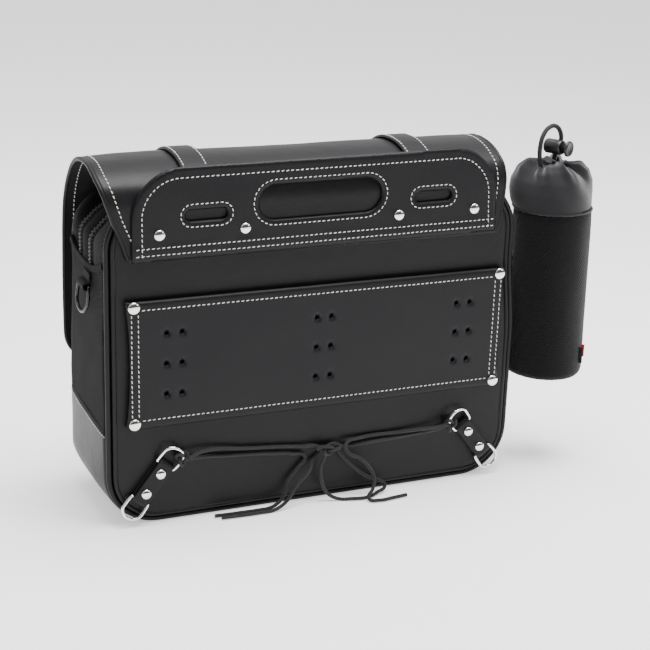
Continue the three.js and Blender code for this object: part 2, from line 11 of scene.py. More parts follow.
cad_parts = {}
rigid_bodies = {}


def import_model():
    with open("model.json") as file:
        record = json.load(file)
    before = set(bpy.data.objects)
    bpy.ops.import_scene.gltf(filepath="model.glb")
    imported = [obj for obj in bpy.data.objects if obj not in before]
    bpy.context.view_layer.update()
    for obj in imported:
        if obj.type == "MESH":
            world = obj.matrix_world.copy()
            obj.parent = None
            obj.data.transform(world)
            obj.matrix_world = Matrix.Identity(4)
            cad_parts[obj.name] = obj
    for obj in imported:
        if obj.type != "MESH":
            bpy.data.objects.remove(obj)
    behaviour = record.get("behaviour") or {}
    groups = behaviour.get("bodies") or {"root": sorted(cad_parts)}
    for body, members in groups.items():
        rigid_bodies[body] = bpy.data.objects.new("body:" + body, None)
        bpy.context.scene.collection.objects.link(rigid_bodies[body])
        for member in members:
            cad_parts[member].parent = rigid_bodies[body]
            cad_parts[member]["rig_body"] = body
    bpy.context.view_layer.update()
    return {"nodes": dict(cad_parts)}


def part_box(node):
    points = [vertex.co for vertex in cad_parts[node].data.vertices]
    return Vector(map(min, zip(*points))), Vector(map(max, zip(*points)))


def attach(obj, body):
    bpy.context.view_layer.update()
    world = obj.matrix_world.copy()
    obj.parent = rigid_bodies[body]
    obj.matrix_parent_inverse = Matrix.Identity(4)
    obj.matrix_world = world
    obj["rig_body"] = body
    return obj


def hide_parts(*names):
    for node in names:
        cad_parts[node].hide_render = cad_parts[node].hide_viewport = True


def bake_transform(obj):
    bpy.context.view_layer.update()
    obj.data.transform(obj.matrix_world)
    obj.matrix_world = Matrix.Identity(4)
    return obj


# A motorcycle side bag seen from its mounting back. The script works in millimetres, in the CAD's
# frame: +X towards the bottle holder, -Y out of the mounting back, +Z up.
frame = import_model()
MM = 0.001


def unit(vectors):
    """Rows of vectors, each made one long."""
    return vectors / np.linalg.norm(vectors, axis=1)[:, None]


def round_turn(count):
    """Angles at equal steps round a whole turn."""
    return np.linspace(0, 2 * np.pi, count, endpoint=False)


def box(node):
    """The lowest and highest corner of a CAD node, in millimetres."""
    low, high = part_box(node)
    return np.array(low) / MM, np.array(high) / MM


# ------------------------------------------------------------------ camera
CAMERA_PLACE = (-545.3, -1316.6, 645.8)
CAMERA_TARGET = (0.3, -64.0, 184.9)
CAMERA_ROLL = math.radians(1.909)
CAMERA_LENS = 83.2


def make_camera():
    data = bpy.data.cameras.new("camera")
    data.lens = CAMERA_LENS
    data.sensor_width = 36
    camera = bpy.data.objects.new("camera", data)
    bpy.context.scene.collection.objects.link(camera)
    place = Vector(CAMERA_PLACE) * MM
    look = (Vector(CAMERA_TARGET) * MM - place).to_track_quat("-Z", "Y").to_matrix()
    camera.matrix_world = Matrix.Translation(place) @ (
        look @ Matrix.Rotation(CAMERA_ROLL, 3, "Z")
    ).to_4x4()
    bpy.context.scene.camera = camera


make_camera()

# ------------------------------------------------------------------ driving dimensions
GAP = 0.3
HALF, _, TOP = box("back_piping")[1]
LOWER_CORNER, UPPER_CORNER = 48, 44
BACK = box("back_panel")[0][1]
FRONT = box("front_panel")[1][1]
FOLD_Z = box("front_panel")[1][2]
FOLD_BEND = ((0, FRONT, FOLD_Z - 6), (0, FRONT, FOLD_Z + 6))
LEAN = math.radians(20)
BASE_RISE = 88
# The height of the side patch's hem, by Y.
SIDE_PATCH = ([-57, -40, -20, 5, 35, 50, 60], [263, 256, 249.5, 248, 250, 254, 259])
PIPING = 2.6
PANEL_LOW, PANEL_HIGH = box("mount_panel")
PLATE_LOW, PLATE_HIGH = box("handle_plate")
PLATE_X = (PLATE_LOW[0] + PLATE_HIGH[0]) / 2
MAIN_ZIP_Y = 30
EXPANDER_Y = -6
STRAP_PLACES = {"left": -124, "right": 102}
STRAP_HALF = 13.5
CUP_LOW, CUP_HIGH = box("holder_cup")
HOLDER = (CUP_LOW + CUP_HIGH) / 2
LACE, DRAW = 3.6, 4.6  # diameters of the lacing and the drawcord
SIDES = (("left", -1), ("right", 1))
HOLE_RADIUS = 2.1
PANEL_INSET = 5.4
GUSSET_BACK, GUSSET_FRONT = BACK + 5.5, FRONT - 8
ZIP_HALF = 4.6
TOP_LOW = 246  # where the strips over the top begin at both ends
TOP_SAG = 17


# ------------------------------------------------------------------ materials
class Shader:
    """A Principled material whose nodes are added one by one."""

    def __init__(self, name, color, roughness, **sockets):
        self.material = bpy.data.materials.new(name)
        self.material.use_nodes = True
        self.tree = self.material.node_tree
        self.bsdf = self.tree.nodes["Principled BSDF"]
        self.bsdf.inputs["Base Color"].default_value = (*color, 1)
        self.bsdf.inputs["Roughness"].default_value = roughness
        for socket, value in sockets.items():
            self.bsdf.inputs[socket.replace("_", " ")].default_value = value
        self.material.diffuse_color = (*color, 1)

    def node(self, kind, inputs=(), **properties):
        made = self.tree.nodes.new(kind)
        for key, value in properties.items():
            setattr(made, key, value)
        for key, value in dict(inputs).items():
            if isinstance(value, bpy.types.NodeSocket):
                self.tree.links.new(value, made.inputs[key])
            else:
                made.inputs[key].default_value = value
        return made

    def link(self, output, socket):
        self.tree.links.new(output, self.bsdf.inputs[socket])

    def math(self, operation, *values):
        return self.node("ShaderNodeMath", enumerate(values), operation=operation).outputs[0]

    def noise(self, vector, scale, detail=3.0, roughness=0.5):
        inputs = {"Vector": vector, "Scale": scale, "Detail": detail, "Roughness": roughness}
        return self.node("ShaderNodeTexNoise", inputs).outputs["Fac"]

    def object_point(self):
        return self.node("ShaderNodeTexCoord").outputs["Object"]

    def cloth_point(self):
        return self.node("ShaderNodeUVMap", uv_map="metres").outputs["UV"]

    def between(self, value, low, high):
        inputs = {"Value": value, "To Min": low, "To Max": high}
        return self.node("ShaderNodeMapRange", inputs).outputs["Result"]

    def tint(self, value, dark, light):
        inputs = {"Factor": value, 6: (*dark, 1), 7: (*light, 1)}
        return self.node("ShaderNodeMix", inputs, data_type="RGBA").outputs[2]

    def bump(self, height, distance, strength=1.0, normal=None):
        inputs = {"Height": height, "Distance": distance, "Strength": strength}
        if normal is not None:
            inputs["Normal"] = normal
        return self.node("ShaderNodeBump", inputs).outputs["Normal"]


def leather_material(name, color, roughness, crease=0.5):
    """Fine-grained synthetic leather: rounded cells, pores, soft unevenness and rubbed patches."""
    s = Shader(name, color, roughness, Specular_IOR_Level=0.17)
    point = s.object_point()
    cells = s.node("ShaderNodeTexVoronoi", {"Vector": point, "Scale": 780.0}, feature="SMOOTH_F1")
    grain = s.bump(cells.outputs["Distance"], 0.00022, 0.38)
    pores = s.bump(s.noise(point, 2600.0, 2.0), 0.00010, 0.25, grain)
    soft = s.bump(s.noise(point, 26.0, 3.0), 0.0022, crease, pores)
    s.link(soft, "Normal")
    rubbed = s.noise(point, 14.0, 5.0, 0.6)
    s.link(s.between(rubbed, roughness - 0.09, roughness + 0.1), "Roughness")
    light = tuple(1.45 * c for c in color)
    s.link(s.tint(rubbed, color, light), "Base Color")
    return s.material


def woven_material(name, color, pitch, turn=0.0, depth=0.00025, sheen=0.04):
    """Two crossed sets of threads, pitch metres apart, on the cloth's own coordinates."""
    s = Shader(name, color, 0.85, Specular_IOR_Level=0.08, Sheen_Weight=sheen)
    mapping = s.node("ShaderNodeMapping", {"Vector": s.cloth_point(), "Rotation": (0, 0, turn)})
    scale = 2 * math.pi / (20 * pitch)
    point = mapping.outputs["Vector"]
    inputs = {"Vector": point, "Scale": scale}
    threads = [s.node("ShaderNodeTexWave", inputs, bands_direction=axis) for axis in ("X", "Y")]
    weave = s.math("MULTIPLY", *(wave.outputs["Fac"] for wave in threads))
    fuzz = s.bump(s.noise(s.object_point(), 1500.0), 0.00012, 0.5)
    s.link(s.bump(weave, depth, 0.9, fuzz), "Normal")
    light = tuple(2.1 * c for c in color)
    s.link(s.tint(weave, color, light), "Base Color")
    return s.material


def plain_material(name, color, roughness, grain=900.0, depth=0.00006, spread=0.08, **sockets):
    """Moulded plastic, plated metal or thread: one colour with fine unevenness."""
    s = Shader(name, color, roughness, **sockets)
    point = s.object_point()
    s.link(s.bump(s.noise(point, grain), depth, 0.5), "Normal")
    uneven = s.noise(point, grain / 12)
    s.link(s.between(uneven, roughness - spread, roughness + spread), "Roughness")
    return s.material


LEATHER = leather_material("leather", (0.0062, 0.0062, 0.0070), 0.42)
PLATE_LEATHER = leather_material("plate_leather", (0.0060, 0.0061, 0.0070), 0.42, 0.3)
# Lighter leather for the rims of the leather sheets: the cut edges' own lighter tone, and a painted
# highlight where the rims catch the light, as along the mounting panel's top edge.
EDGE_TONE_AND_HIGHLIGHT = leather_material("cut_edge_and_painted_highlight", (0.024, 0.024, 0.026), 0.34, 0.2)
LINING = woven_material("lining", (0.008, 0.008, 0.0085), 0.0009)
SIDE_FABRIC = woven_material("side_fabric", (0.0020, 0.0020, 0.0022), 0.0014, 0.0, 0.0004)
MESH_FABRIC = woven_material(
    "mesh_fabric", (0.0075, 0.0075, 0.0078), 0.0022, math.radians(45), 0.0007
)
DOBBY = woven_material("dobby", (0.0024, 0.0024, 0.0027), 0.0024, math.radians(38), 0.0004, 0.15)
TAFFETA = woven_material("taffeta", (0.0105, 0.0105, 0.0118), 0.0007, 0.0, 0.00008, 0.35)
WEBBING = woven_material("webbing", (0.010, 0.010, 0.0105), 0.0016, math.radians(45), 0.0003)
THREAD = plain_material("thread", (0.70, 0.67, 0.60), 0.62, 2600.0, 0.0002)
LACE_FIBRE = plain_material(
    "lace_fibre", (0.0045, 0.0044, 0.0041), 0.75, 1500.0, 0.0009, Sheen_Weight=0.05
)
NICKEL = plain_material("nickel", (0.86, 0.85, 0.82), 0.10, 300.0, 0.00004, 0.04, Metallic=1.0)
BLACK_METAL = plain_material("black_metal", (0.045, 0.045, 0.05), 0.27, 500.0, Metallic=1.0)
PLASTIC = plain_material("black_plastic", (0.012, 0.012, 0.013), 0.36, 1500.0)
COIL = plain_material("zip_coil", (0.040, 0.040, 0.042), 0.38, 1200.0)
BOARD = plain_material("board", (0.030, 0.030, 0.032), 0.7, 700.0)
RED = woven_material("red_tag", (0.33, 0.006, 0.010), 0.0008)


# ------------------------------------------------------------------ mesh helpers
SLOTS = {
    LEATHER: "black_leather",
    PLATE_LEATHER: "black_leather",
    SIDE_FABRIC: "gusset_fabric",
    MESH_FABRIC: "gusset_fabric",
    DOBBY: "dobby_fabric",
    TAFFETA: "collar_taffeta",
    WEBBING: "webbing",
    RED: "webbing",
    THREAD: "black_lacing",
    LACE_FIBRE: "black_lacing",
    NICKEL: "polished_nickel",
    BLACK_METAL: "black_metal",
    PLASTIC: "black_plastic",
    COIL: "zip_tape",
}


def place(mesh, body, material, replaces=(), slot=None):
    """Puts a mesh or curve on a body of the frame with its material, and hides the nodes it stands
    for.
    """
    slot = slot or SLOTS[material]
    made = bpy.data.objects.new(mesh.name, mesh)
    bpy.context.scene.collection.objects.link(made)
    made.data.materials.clear()
    made.data.materials.append(material)
    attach(made, body)
    if replaces:
        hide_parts(*replaces)
    return made


def thicken(piece, thickness, inside=None, rim=None):
    """Gives a surface its thickness on the inner side, with its own inner and rim materials."""
    solid = piece.modifiers.new("thickness", "SOLIDIFY")
    solid.thickness = thickness * MM
    solid.offset = -1
    solid.use_even_offset = False
    for extra, setting in ((inside, "material_offset"), (rim, "material_offset_rim")):
        if extra is not None:
            piece.data.materials.append(extra)
            setattr(solid, setting, len(piece.data.materials) - 1)
    return piece


def bending(piece, body_a, body_b, start, end):
    """Takes a piece off its body and bakes its place into its mesh. The two bodies and the two
    places are not used.
    """
    piece.parent = None
    if "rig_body" in piece:
        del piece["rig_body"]
    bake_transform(piece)


def lengths(points, axis):
    steps = np.linalg.norm(np.diff(points, axis=axis, append=points.take([0], axis)), axis=2)
    return np.concatenate([[0], np.cumsum(steps.mean(1 - axis))])


def lay_out(mesh, uv):
    """Gives each corner of a mesh its place on the cloth, in metres."""
    mesh.uv_layers.new(name="metres").data.foreach_set("uv", uv.reshape(-1).astype(np.float32))
    mesh.shade_smooth()
    return mesh


def grid(name, rows, closed_u=False, closed_v=False, flip=False):
    """A mesh from rows of points in millimetres, with a UV map in metres."""
    points = np.asarray(rows, float) * MM
    nu, nv, _ = points.shape
    i, j = np.meshgrid(
        np.arange(nu if closed_u else nu - 1), np.arange(nv if closed_v else nv - 1), indexing="ij"
    )
    corners = [(i, j), (i + 1, j), (i + 1, j + 1), (i, j + 1)]
    if flip:
        corners.reverse()
    faces = np.stack([(a % nu) * nv + b % nv for a, b in corners], -1).reshape(-1, 4)
    mesh = bpy.data.meshes.new(name)
    mesh.from_pydata(points.reshape(-1, 3).tolist(), [], faces.tolist())
    s, t = lengths(points, 0), lengths(points, 1)
    return lay_out(mesh, np.stack([np.stack([s[a], t[b]], -1) for a, b in corners], 2))


def merge_close(mesh, distance=0.002):
    """Joins the points that a pole or a closed end leaves on top of each other."""
    work = bmesh.new()
    work.from_mesh(mesh)
    bmesh.ops.remove_doubles(work, verts=work.verts, dist=distance * MM)
    work.to_mesh(mesh)
    work.free()
    return mesh


def arc(cx, cz, r, start, end, steps):
    angles = np.radians(np.linspace(start, end, steps + 1))
    return np.stack([cx + r * np.cos(angles), cz + r * np.sin(angles)], 1)


def rounded(half, low, high, r_low, r_high, centre=0.0, steps=12):
    """A rounded rectangle in X, Z, anticlockwise seen from behind the bag."""
    return np.concatenate(
        [
            arc(centre - half + r_low, low + r_low, r_low, 180, 270, steps),
            arc(centre + half - r_low, low + r_low, r_low, 270, 360, steps),
            arc(centre + half - r_high, high - r_high, r_high, 0, 90, steps),
            arc(centre - half + r_high, high - r_high, r_high, 90, 180, steps),
        ]
    )


def stadium(x, z, half_width, half_height, steps=14):
    run = half_width - half_height
    return np.concatenate(
        [
            arc(x + run, z, half_height, -90, 90, steps),
            arc(x - run, z, half_height, 90, 270, steps),
        ]
    )


def resample(points, step, closed=False):
    """Points at equal distances along a line, about a step apart."""
    points = np.asarray(points, float)
    if closed:
        points = np.concatenate([points, points[:1]])
    gaps = np.linalg.norm(np.diff(points, axis=0), axis=1)
    total = np.concatenate([[0], np.cumsum(gaps)])
    count = max(2, round(total[-1] / step))
    wanted = np.linspace(0, total[-1], count + 1)[: count if closed else count + 1]
    return np.stack([np.interp(wanted, total, points[:, k]) for k in range(points.shape[1])], 1)


def smooth_line(points, per_step=8):
    """A Catmull-Rom line through the points."""
    points = np.asarray(points, float)
    padded = np.concatenate([[2 * points[0] - points[1]], points, [2 * points[-1] - points[-2]]])
    made = []
    for a, b, c, d in zip(padded, padded[1:], padded[2:], padded[3:]):
        for k in range(per_step):
            t = k / per_step
            curve = (2 * a - 5 * b + 4 * c - d) * t**2 + (3 * b - a - 3 * c + d) * t**3
            made.append(0.5 * (2 * b + (c - a) * t + curve))
    return np.array(made + [points[-1]])


def round_corners(points, rounds=3):
    """A closed line with its corners cut again and again, until it is round."""
    points = np.asarray(points, float)
    for _ in range(rounds):
        after = np.roll(points, -1, axis=0)
        points = np.stack([0.75 * points + 0.25 * after, 0.25 * points + 0.75 * after], 1)
        points = points.reshape(-1, points.shape[-1])
    return points


def distance_to(points, lines):
    """Each point's distance to the nearest of some closed lines, in two dimensions."""
    nearest = np.full(len(points), 1e9)
    for line in lines:
        for a, b in zip(line, np.roll(line, -1, axis=0)):
            along = b - a
            t = np.clip((points - a) @ along / max(along @ along, 1e-9), 0, 1)
            gap = np.linalg.norm(points - (a + t[:, None] * along), axis=1)
            nearest = np.minimum(nearest, gap)
    return nearest


def inside(points, line):
    """Which points lie inside a closed line."""
    x, z = points[:, 0], points[:, 1]
    result = np.zeros(len(points), bool)
    for (ax, az), (bx, bz) in zip(line, np.roll(line, -1, axis=0)):
        crosses = (az > z) != (bz > z)
        with np.errstate(divide="ignore", invalid="ignore"):
            result ^= crosses & (x < (bx - ax) * (z - az) / (bz - az) + ax)
    return result


def plate(name, outline, holes, spacing, surface, rounding, facing_back=True):
    """A dense sheet in X, Z with holes. surface gives Y; its edges are rounded inwards."""
    lines = [resample(line, spacing * 0.6, closed=True) for line in [outline, *holes]]
    low, high = lines[0].min(0), lines[0].max(0)
    xs, zs = (np.arange(low[k] + spacing / 2, high[k], spacing) for k in (0, 1))
    inner = np.stack(np.meshgrid(xs, zs), -1).reshape(-1, 2)
    inner = inner[inside(inner, lines[0])]
    for hole in lines[1:]:
        inner = inner[~inside(inner, hole)]
    inner = inner[distance_to(inner, lines) > spacing * 0.45]
    points = [*np.concatenate(lines), *inner]
    edges, first = [], 0
    for line in lines:
        n = len(line)
        edges += [(first + k, first + (k + 1) % n) for k in range(n)]
        first += n
    flat, _, faces, _, _, _ = delaunay_2d_cdt([Vector(p) for p in points], edges, [], 0, 1e-5)
    flat = np.array(flat)
    faces = np.array([f for f in faces if len(f) == 3])
    middle = flat[faces].mean(1)
    keep = inside(middle, lines[0])
    for hole in lines[1:]:
        keep &= ~inside(middle, hole)
    faces = faces[keep]
    depth = np.clip(distance_to(flat, lines) / rounding, 0, 1)
    inward = rounding * (1 - np.sqrt(1 - (1 - depth) ** 2))
    sign = 1 if facing_back else -1
    y = surface(flat) + sign * inward
    turned = faces if facing_back else faces[:, ::-1]
    mesh = bpy.data.meshes.new(name)
    position = np.stack([flat[:, 0], y, flat[:, 1]], 1) * MM
    mesh.from_pydata(position.tolist(), [], turned.tolist())
    return lay_out(mesh, flat[turned.reshape(-1)] * MM)


def sweep(name, path, section, side=None, closed=False, capped=True):
    """A section of [a, b] points drawn along a path: a along side, b along the path's normal."""
    path = np.asarray(path, float)
    if closed:
        tangents = np.roll(path, -1, axis=0) - np.roll(path, 1, axis=0)
    else:
        tangents = np.gradient(path, axis=0)
    tangents = unit(tangents)
    sides = np.zeros_like(path)
    if side is None:
        upright = abs(tangents[0][2]) >= 0.8
        start = np.array([0.0, 1.0, 0.0] if upright else [0.0, 0.0, 1.0])
        for k, t in enumerate(tangents):
            start = start - (start @ t) * t
            start /= np.linalg.norm(start)
            sides[k] = start
    else:
        sides[:] = side
        sides = unit(sides - (sides * tangents).sum(1)[:, None] * tangents)
    normals = np.cross(sides, tangents)
    section = np.asarray(section, float)
    rows = (
        path[:, None]
        + sides[:, None] * section[None, :, :1]
        + normals[:, None] * section[None, :, 1:]
    )
    if not closed and capped:
        rows = np.concatenate([rows[:1].mean(1, keepdims=True).repeat(len(section), 1), rows])
        rows = np.concatenate([rows, rows[-1:].mean(1, keepdims=True).repeat(len(section), 1)])
    return merge_close(grid(name, rows, closed_u=closed, closed_v=True))


def ring_section(radius, sides=12):
    angles = round_turn(sides)
    return np.stack([radius * np.cos(angles), radius * np.sin(angles)], 1)


def strap_section(width, thickness, crown=0.25):
    """A flat strap's section with rounded edges and a slightly raised middle."""
    a, b = width / 2, thickness / 2
    corner = min(b, 1.2)
    shape = rounded(a, -b, b, corner, corner, steps=4)
    xs = np.linspace(-a + corner + 1, a - corner - 1, 7)
    crowned = np.stack([xs[::-1], b + crown * (1 - (xs / a) ** 2)], 1)
    return np.concatenate([shape[:10], shape[10:15], crowned, shape[15:]])


def lathe(name, profile, steps=40):
    """A solid of revolution about Z from [radius, z] points."""
    profile = np.asarray(profile, float)
    angles = round_turn(steps)
    rows = [[(r * math.cos(a), r * math.sin(a), z) for a in angles] for r, z in profile]
    return merge_close(grid(name, rows, closed_v=True, flip=True))


def moved(mesh, matrix):
    mesh.transform(matrix)
    return mesh


def shift(x, y, z):
    return Matrix.Translation(Vector((x, y, z)) * MM)


FACING_BACK = Matrix.Rotation(math.pi / 2, 4, "X")


# ------------------------------------------------------------------ stitching
THREAD_RADIUS = 0.48
STITCH = 3.3
PITCH = 4.8


def stitch_template():
    """One stitch along X: a short round thread that dips at both ends."""
    xs = np.array([-1, -0.86, -0.45, 0.45, 0.86, 1]) * STITCH / 2
    radii = np.array([0.12, 0.72, 1, 1, 0.72, 0.12]) * THREAD_RADIUS
    angles = round_turn(6)
    dip = 0.55 * (np.abs(xs) / (STITCH / 2)) ** 2
    points = [
        (x, r * math.cos(a), r * math.sin(a) + 0.18 - d)
        for x, r, d in zip(xs, radii, dip)
        for a in angles
    ]
    faces = [
        (i * 6 + j, i * 6 + (j + 1) % 6, (i + 1) * 6 + (j + 1) % 6, (i + 1) * 6 + j)
        for i in range(5)
        for j in range(6)
    ]
    return np.array(points), np.array(faces)


def stamped(name, template, template_faces, frames):
    """Copies of a small shape as one mesh, one for each (centre, three axes)."""
    points = np.concatenate([centre + template @ np.stack(axes) for centre, axes in frames])
    faces = np.concatenate([template_faces + k * len(template) for k in range(len(frames))])
    mesh = bpy.data.meshes.new(name)
    mesh.from_pydata((points * MM).tolist(), [], faces.tolist())
    mesh.shade_smooth()
    return mesh


def stitch_rows(name, rows, body):
    """All of one piece's stitching as one mesh. Each row is (points, outward normals, closed)."""
    frames = []
    for line, normal, closed in rows:
        line = np.asarray(line, float)
        normal = np.broadcast_to(np.asarray(normal, float), line.shape)
        both = resample(np.concatenate([line, normal * 1e-6], 1), PITCH, closed)
        centre, out = both[:, :3], both[:, 3:] * 1e6
        if closed:
            along = np.roll(centre, -1, axis=0) - np.roll(centre, 1, axis=0)
        else:
            along = np.gradient(centre, axis=0)
            centre, out, along = centre[:-1] + along[:-1] / 2, out[:-1], along[:-1]
        along = unit(along)
        across = unit(np.cross(out, along))
        out = np.cross(along, across)
        slant = 0.14
        along, across = along + slant * across, across - slant * along
        frames += [(c, axes) for c, *axes in zip(centre, along, across, out)]
    return place(stamped(name, *stitch_template(), frames), body, THREAD)


OUT_BACK = (0, -1, 0)
OUT_FRONT = (0, 1, 0)


def on_surface(line, surface, out, lift=0.0):
    """A row of X, Z points laid on a sheet."""
    line = np.asarray(line, float)
    y = surface(line) + out[1] * lift
    return np.stack([line[:, 0], y, line[:, 1]], 1)


# ------------------------------------------------------------------ cords
LACING_ROUTES = {
    "lace_left_loop": [
        (-137.5, -69, 67.5), (-124, -66, 71), (-74, -62, 66), (-21, -62, 60.5), (0, -64, 57),
        (3, -66.5, 50), (-1, -68, 38), (0, -69, 24), (6, -69, 10), (17, -71, 2.6), (32, -76, 2.3),
        (47, -77.5, 2.3), (61, -71.5, 3.2), (71, -67, 7.5), (66, -65.5, 12.5), (52, -65, 19),
        (38, -64.5, 30), (26, -64, 42), (19, -63.5, 51),
    ],
    "lace_left_tail": [
        (-138, -61.3, 63), (-124, -61.2, 63.5), (-100, -61.2, 61.6), (-74, -61.2, 59.5),
        (-52, -61.2, 57), (-30, -61.2, 54), (-16, -61.5, 49), (-24, -62, 37), (-34, -63, 25),
        (-39, -65.5, 11), (-50, -68, 3.4), (-68, -69.5, 2.3), (-79, -69.3, 2.3), (-90, -69, 2.3),
        (-111, -68, 2.3),
    ],
    "lace_right_tail": [
        (138.5, -69, 65.5), (127, -66, 63), (108, -64, 62.2), (88, -62, 61.5), (42, -62, 61),
        (26, -66, 58), (27, -69.5, 51), (40, -71.5, 43), (51, -71.5, 31), (56, -72.5, 20),
        (53, -77, 11), (46, -84, 3.4), (55, -88, 2.4), (71, -87, 2.3), (87, -85, 2.3),
    ],
    "lace_right_end": [
        (139.5, -61.3, 60), (125, -61.2, 58), (106, -61.2, 57), (88, -61.2, 56), (62, -61.3, 55),
        (38, -61.5, 54), (12, -60.2, 54), (-6, -61, 46), (-12, -67, 37), (-27, -69, 22),
        (-37, -72, 9.5), (-50, -74.5, 2.8), (-68, -75.5, 2.3), (-88, -75, 2.3), (-106, -74, 2.3),
    ],
}


def cord_curve(name, route, diameter, body, replaces):
    data = bpy.data.curves.new(name, "CURVE")
    data.dimensions = "3D"
    data.bevel_depth = diameter / 2 * MM
    data.bevel_resolution = 4
    data.resolution_u = 10
    data.use_fill_caps = True
    spline = data.splines.new("BEZIER")
    spline.bezier_points.add(len(route) - 1)
    for point, where in zip(spline.bezier_points, route):
        point.co = Vector(where) * MM
        point.handle_left_type = point.handle_right_type = "AUTO"
    return place(data, body, LACE_FIBRE, replaces)


def knot(name, centre, size, stretch, body="bag"):
    """A small pulled-tight knot: a trefoil of cord."""
    t = round_turn(72)
    x = np.sin(t) + 2 * np.sin(2 * t)
    y = -np.sin(3 * t)
    z = np.cos(t) - 2 * np.cos(2 * t)
    path = np.stack([x * stretch[0], y * stretch[1], z * stretch[2]], 1) * size + np.array(centre)
    mesh = sweep(name, path, ring_section(LACE / 2, 10), closed=True)
    return place(mesh, body, LACE_FIBRE)


def make_cords():
    knots = {
        "lace_left_loop": [
            knot("centre_knot", (8, -65.5, 55.5), 2.5, (1.7, 0.9, 0.75)),
            knot("left_hitch", (-143, -64.5, 66.5), 1.9, (1.0, 1.2, 1.3)),
        ],
        "lace_right_tail": [knot("right_hitch", (143.5, -64.5, 63.5), 1.9, (1.0, 1.2, 1.3))],
    }
    for name, route in LACING_ROUTES.items():
        piece = cord_curve(name + "_cord", route, LACE, "bag", [name])


make_cords()

# ------------------------------------------------------------------ box of the bag
ARCH_STEPS = (8, 12, 50, 12, 8)


def run(inset, z, under):
    """The bag's outline in X, Z from its left side at height z to its right side."""
    w = HALF - inset
    r = (LOWER_CORNER if under else UPPER_CORNER) - inset
    cz = inset + r if under else TOP - inset - r
    sign = 1 if under else -1
    left = arc(-w + r, cz, r, sign * 180, sign * 270, ARCH_STEPS[1])
    right = arc(w - r, cz, r, sign * 270, sign * 360, ARCH_STEPS[3])
    across = np.linspace(left[-1], right[0], ARCH_STEPS[2] + 1)[1:-1]
    down = np.linspace([-w, z], left[0], ARCH_STEPS[0] + 1)[:-1]
    up = np.linspace(right[-1], [w, z], ARCH_STEPS[4] + 1)[1:]
    return np.concatenate([down, left, across, right, up])


def bag_outline(inset, rounder, top=None):
    """The bag's whole outline in X, Z, moved inwards, its corners rounded by less."""
    top = inset if top is None else top
    return rounded(HALF - inset, inset, TOP - top, LOWER_CORNER - rounder, UPPER_CORNER - rounder)


def bowed(count, power=3):
    """Shares that rise from 0 at both ends to 1 in the middle."""
    return 1 - np.abs(np.linspace(-1, 1, count)) ** power


def forward(y):
    """0 at the bag's back and 1 at its front."""
    return (y - BACK) / (FRONT - BACK)


def ripple(point, scale, amount, seed=0.0):
    return amount * noise(Vector((point[0] / scale, point[1] / scale + seed, point[2] / scale)))


def sag(x, z, depth):
    """How far a strip sinks between the front and the back near the bag's ends."""
    away = np.clip((abs(x) - 125) / 45, 0, 1)
    return depth * away**2 * (3 - 2 * away) * np.clip((z - 262) / 38, 0, 1)


def wrap(name, ys, insets, low, sags, uneven=0.5):
    """A strip over the bag's top, one outline for each Y, each with its own inset and sag."""
    rows = []
    for y, inset, depth in zip(ys, insets, sags):
        row = []
        for x, z in run(inset, low, False):
            p = np.array([x, y, z - sag(x, z, depth)])
            p[0] *= 1 + ripple(p, 40, uneven) / HALF
            p[2] += ripple(p, 50, uneven, 9.0)
            row.append(p)
        rows.append(row)
    return grid(name, rows, flip=True)


def leaned(point):
    """A point of the front above the fold line, leant back with it."""
    x, y, z = point
    if z <= FOLD_Z:
        return np.array(point)
    dy, dz = y - FRONT - GAP, z - FOLD_Z
    turned_y = FRONT + GAP + dy * math.cos(LEAN) - dz * math.sin(LEAN)
    return np.array([x, turned_y, max(FOLD_Z, FOLD_Z + dy * math.sin(LEAN) + dz * math.cos(LEAN))])


def eased(value):
    """0 below 0, 1 above 1 and a soft step between."""
    t = np.clip(value, 0, 1)
    return t * t * (3 - 2 * t)


def draw_in(mesh):
    """The bag's right end draws in towards its upper back corner."""
    for v in mesh.vertices:
        x, y, z = (c / MM for c in v.co)
        share = eased((x - 100) / 80) * eased(1.1 - (y - BACK) / 100)
        v.co.x -= MM * share * (7 * eased((z - 150) / 90) + 6 * eased((z - 262) / 45))
    return mesh


def hollows(p, across, up, layer):
    """Soft hollows over a sheet's X, Z points."""
    return np.array([noise(Vector((x / across, z / up, layer))) for x, z in p])


def back_surface(p):
    """Y of the padded back panel: soft hollows, fuller towards the base."""
    x, z = p[:, 0], p[:, 1]
    bulge = 1.6 * np.exp(-(((z - 60) / 90) ** 2)) * np.cos(x / HALF * 1.3)
    return BACK + 0.6 - bulge - 0.9 * hollows(p, 85, 60, 3.0)


def front_surface(p):
    """Y of the front panel. Above the fold line it leans back."""
    back = np.clip(p[:, 1] - FOLD_Z, 0, None) * math.tan(LEAN)
    return FRONT - back - 0.5 + 0.5 * hollows(p, 80, 60, 7.0)


def base_edge(y):
    """How high the base leather wraps up the sides at depth y."""
    return BASE_RISE + 6 + 11 * (y - BACK) / (FRONT - BACK)


def side_swell(y, z):
    """X of the soft side: fullest in the middle and towards the front."""
    middle = 1 - abs(forward(y) * 2 - 1) ** 3
    belly = 2.2 * math.sin(math.pi * np.clip((z - 78) / 180, 0, 1))
    return HALF - 1.0 + middle * belly + foot_swell(y, z)


def foot_swell(y, z):
    """How far the bag bulges sideways towards the foot of its front."""
    return forward(y) * (1.6 + 3.6 * eased((230 - z) / 130) * eased((z + 10) / 60))


